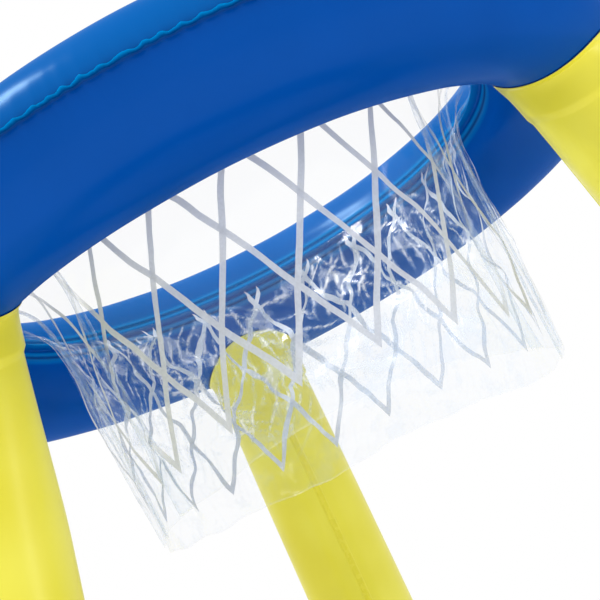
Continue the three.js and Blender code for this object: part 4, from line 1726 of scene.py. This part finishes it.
        top = self.stem_height - self.collar_drop + self.collar / 2
        foot = top - self.collar
        stem = self.revolved(f"{self.name}_stem_moulded", [
            (self.stem_bore, -self.stem_depth), (self.stem_radius, -self.stem_depth),
            (self.stem_radius, foot), (self.collar_radius, foot + self.collar_bevel),
            (self.collar_radius, top - self.collar_bevel), (self.stem_radius, top),
            (self.stem_radius, self.stem_height), (self.stem_bore, self.stem_height),
        ], material, self.soft_edge)
        settle(stem, f"{body}_{Body.STEM.value}", "valve", f"{self.name}_stem")

        seat = self.stem_height + self.gap
        plug = self.stem_bore - self.plug_clearance
        cap = self.revolved(f"{self.name}_cap_moulded", [
            (0.0, seat - self.plug_length), (plug - self.plug_taper, seat - self.plug_length),
            (plug, seat - self.plug_taper), (plug, seat), (self.cap_radius, seat),
            (self.cap_radius, seat + self.cap - self.cap_bevel),
            (self.cap_radius - self.cap_bevel, seat + self.cap), (0.0, seat + self.cap),
        ], material, self.soft_edge)
        settle(cap, f"{body}_{Body.CAP.value}", "valve", f"{self.name}_cap")
        strap = self.strap_piece(material)
        settle(strap, f"{body}_{Body.CAP.value}", "valve", f"{self.name}_strap")

        lid = -self.stem_depth - self.gap
        flap = self.revolved(f"{self.name}_flap_moulded", [
            (0.0, lid - self.flap), (self.flap_radius, lid - self.flap),
            (self.flap_radius, lid), (0.0, lid),
        ], clear, self.soft_flap)
        settle(flap, f"{body}_{Body.FLAP.value}", "valve_flap", f"{self.name}_flap")


@dataclass
class PhotoCamera:
    """The photograph's view: from below the hoop, tilted up and rolled."""

    target_z: float = 512 * MM
    distance: float = 680.94 * MM
    drop: float = 222.95 * MM
    yaw: float = 0.01402
    pitch: float = 0.23976
    roll: float = -0.48205
    heading: float = math.radians(-11.45)
    lens: float = 78.0
    sensor: float = 36.0
    nearest: float = 20 * MM

    def build(self) -> None:
        """Creates the camera and makes it the scene's."""
        forward = Vector((math.sin(self.yaw) * math.cos(self.pitch),
                          math.cos(self.yaw) * math.cos(self.pitch), math.sin(self.pitch)))
        level = Vector((math.cos(self.yaw), -math.sin(self.yaw), 0.0))
        upright = level.cross(forward)
        right = level * math.cos(self.roll) + upright * math.sin(self.roll)
        up = upright * math.cos(self.roll) - level * math.sin(self.roll)
        axes = Matrix((right, up, -forward)).transposed().to_4x4()
        spot = Vector((0.0, -self.distance, self.target_z - self.drop))
        data = bpy.data.cameras.new("photo_camera")
        data.lens = self.lens
        data.sensor_width = self.sensor
        data.clip_start = self.nearest
        camera = bpy.data.objects.new("photo_camera", data)
        turn = Matrix.Rotation(self.heading, 4, "Z")
        camera.matrix_world = turn @ Matrix.Translation(spot) @ axes
        bpy.context.scene.collection.objects.link(camera)
        bpy.context.scene.camera = camera


@dataclass(frozen=True)
class Softbox:
    """One soft lamp, aimed at the hoop."""

    name: str
    place: tuple[float, float, float]
    width: float
    height: float
    watts: float
    mirrored: bool = True


@dataclass
class Studio:
    """A pale floor under a white surround, with soft lamps."""

    floor_color: RGB = (0.93, 0.935, 0.945)
    floor_radius: float = 4.0
    floor_sides: int = 96
    floor_rough: float = 0.75
    floor_dim: float = 0.985
    floor_grain: float = 0.4
    ambient: float = 0.88
    aim: tuple[float, float, float] = (0.0, 0.0, 0.4)
    lamps: tuple[Softbox, ...] = (
        Softbox("key", (-0.78, 0.0, 2.25), width=0.38, height=0.46, watts=31.0),
        Softbox("glint", (1.1, -0.8, 0.6), width=0.12, height=0.75, watts=2.2),
        Softbox("front", (-0.7, -1.9, 0.35), width=1.6, height=1.0, watts=4.5, mirrored=False),
        Softbox("rear", (0.9, 1.6, 1.2), width=1.4, height=0.8, watts=3.5),
    )

    def build(self) -> None:
        """Builds the floor, the surround and the lamps."""
        self._floor()
        self._surround()
        for lamp in self.lamps:
            self._lamp(lamp)
        bpy.context.scene.view_settings.view_transform = "Standard"

    def _floor(self) -> None:
        """Lays the floor, which keeps the object's shadow."""
        shader = Shader("pale_floor")
        grain = shader.noise(shader.place(), self.floor_grain)
        dim = dimmed(self.floor_color, self.floor_dim)
        material = shader.finish({"Base Color": shader.mix(grain, dim, self.floor_color),
                                  "Roughness": self.floor_rough})
        radius, count = self.floor_radius, self.floor_sides
        points = [(radius * math.cos(math.tau * i / count),
                   radius * math.sin(math.tau * i / count), 0.0) for i in range(count)]
        mesh = bpy.data.meshes.new("floor")
        mesh.from_pydata(points, [], [list(range(count))])
        mesh.materials.append(material)
        place_mesh("floor", mesh)

    def _surround(self) -> None:
        """Lights the object evenly and shows white to the camera and through clear surfaces."""
        world = bpy.data.worlds.new("surround")
        world.use_nodes = True
        graph = Graph(world.node_tree)
        path = graph.node("ShaderNodeLightPath")
        seen = graph.out(path, "Is Camera Ray").math(
            "MAXIMUM", graph.out(path, "Is Transmission Ray"))
        strength = seen * (1.0 - self.ambient) + self.ambient
        sky = graph.node("ShaderNodeBackground",
                         inputs={"Color": (1.0, 1.0, 1.0), "Strength": strength})
        graph.node("ShaderNodeOutputWorld", inputs={"Surface": sky})
        bpy.context.scene.world = world

    def _lamp(self, softbox: Softbox) -> None:
        """Hangs one lamp."""
        data = bpy.data.lights.new(softbox.name, "AREA")
        data.shape = "RECTANGLE"
        data.size, data.size_y = softbox.width, softbox.height
        data.energy = softbox.watts
        lamp = bpy.data.objects.new(softbox.name, data)
        place = Vector(softbox.place)
        turn = (Vector(self.aim) - place).to_track_quat("-Z", "Y")
        lamp.matrix_world = Matrix.Translation(place) @ turn.to_matrix().to_4x4()
        lamp.visible_glossy = softbox.mirrored
        bpy.context.scene.collection.objects.link(lamp)


def main() -> None:
    """Builds the studio, then each sub-assembly in order."""
    logging.basicConfig(level=logging.INFO, format="%(name)s: %(message)s")
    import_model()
    PhotoCamera().build()
    Studio().build()

    # The blue vinyls' weld colours are a painted glow for light shining through the thin flanges
    blue = RingVinyl("blue_vinyl", color=(0.0, 0.068, 0.36), weld_glow_color=(0.0, 0.32, 0.75),
                     mirror_tint=(0.4, 0.72, 1.0))
    # Painted light: the upper panels take a paler, more cyan copy of the blue, for the light that
    # falls on them from above
    top_lit_blue = RingVinyl("azure_vinyl", color=(0.0, 0.102, 0.39), weld_glow_color=(0.0, 0.34, 0.75),
                      mirror_tint=(0.5, 0.78, 1.0))
    # Dark navy painted shadow for the gap under each leg's lip
    gap_shadow = RingVinyl("navy_weld", color=(0.0, 0.015, 0.09), weld_glow_color=(0.0, 0.015, 0.09),
                     mirror_tint=(0.3, 0.6, 1.0))
    yellow = LegVinyl("yellow_vinyl", color=(0.88, 0.81, 0.085), deep_color=(0.78, 0.69, 0.03))
    hoop = InflatedRing("hoop", radius=190 * MM, tube=38 * MM, centre_z=512 * MM,
                        seam_rise=4 * MM, inner_flange=6 * MM, valve_azimuth=math.radians(30))
    base = InflatedRing("base", radius=279 * MM, tube=50 * MM, centre_z=49.262 * MM,
                        seam_rise=0.0, inner_flange=3.5 * MM, valve_azimuth=math.radians(150))
    blue_finish, top_lit_finish = blue.material(), top_lit_blue.material()
    hoop.build(top_lit_finish, blue_finish)
    base.build(top_lit_finish, blue_finish)

    leg_finish, gap_shadow_finish = yellow.material(), gap_shadow.material()
    legs = (InflatedLeg("leg_rear", math.radians(90), hoop, base, top_radius=28.5 * MM,
                        lip=4.5 * MM, swell=0.5),
            InflatedLeg("leg_front_left", math.radians(210), hoop, base, swell=0.35),
            InflatedLeg("leg_front_right", math.radians(330), hoop, base, swell=0.35))
    for leg in legs:
        leg.build(leg_finish, gap_shadow_finish)

    film = NetFilm(seam_z=516 * MM)
    sheet = film.build(ClearFilm("clear_film", tint=(0.25, 0.52, 0.85),
                                 sheen_color=(0.72, 0.82, 1.0), crease_color=(0.95, 0.96, 0.98)))
    PrintedLattice(film).build(sheet, Ink("white_ink", (0.62, 0.65, 0.70)))

    moulded = MouldedVinyl("valve_vinyl", (0.72, 0.78, 0.85)).material()
    clear = MouldedVinyl("flap_vinyl", (0.82, 0.85, 0.88), gloss=0.25).material()
    for ring in (hoop, base):
        AirValve(f"{ring.name}_valve", ring).build(moulded, clear)


if __name__ == "__main__":
    main()
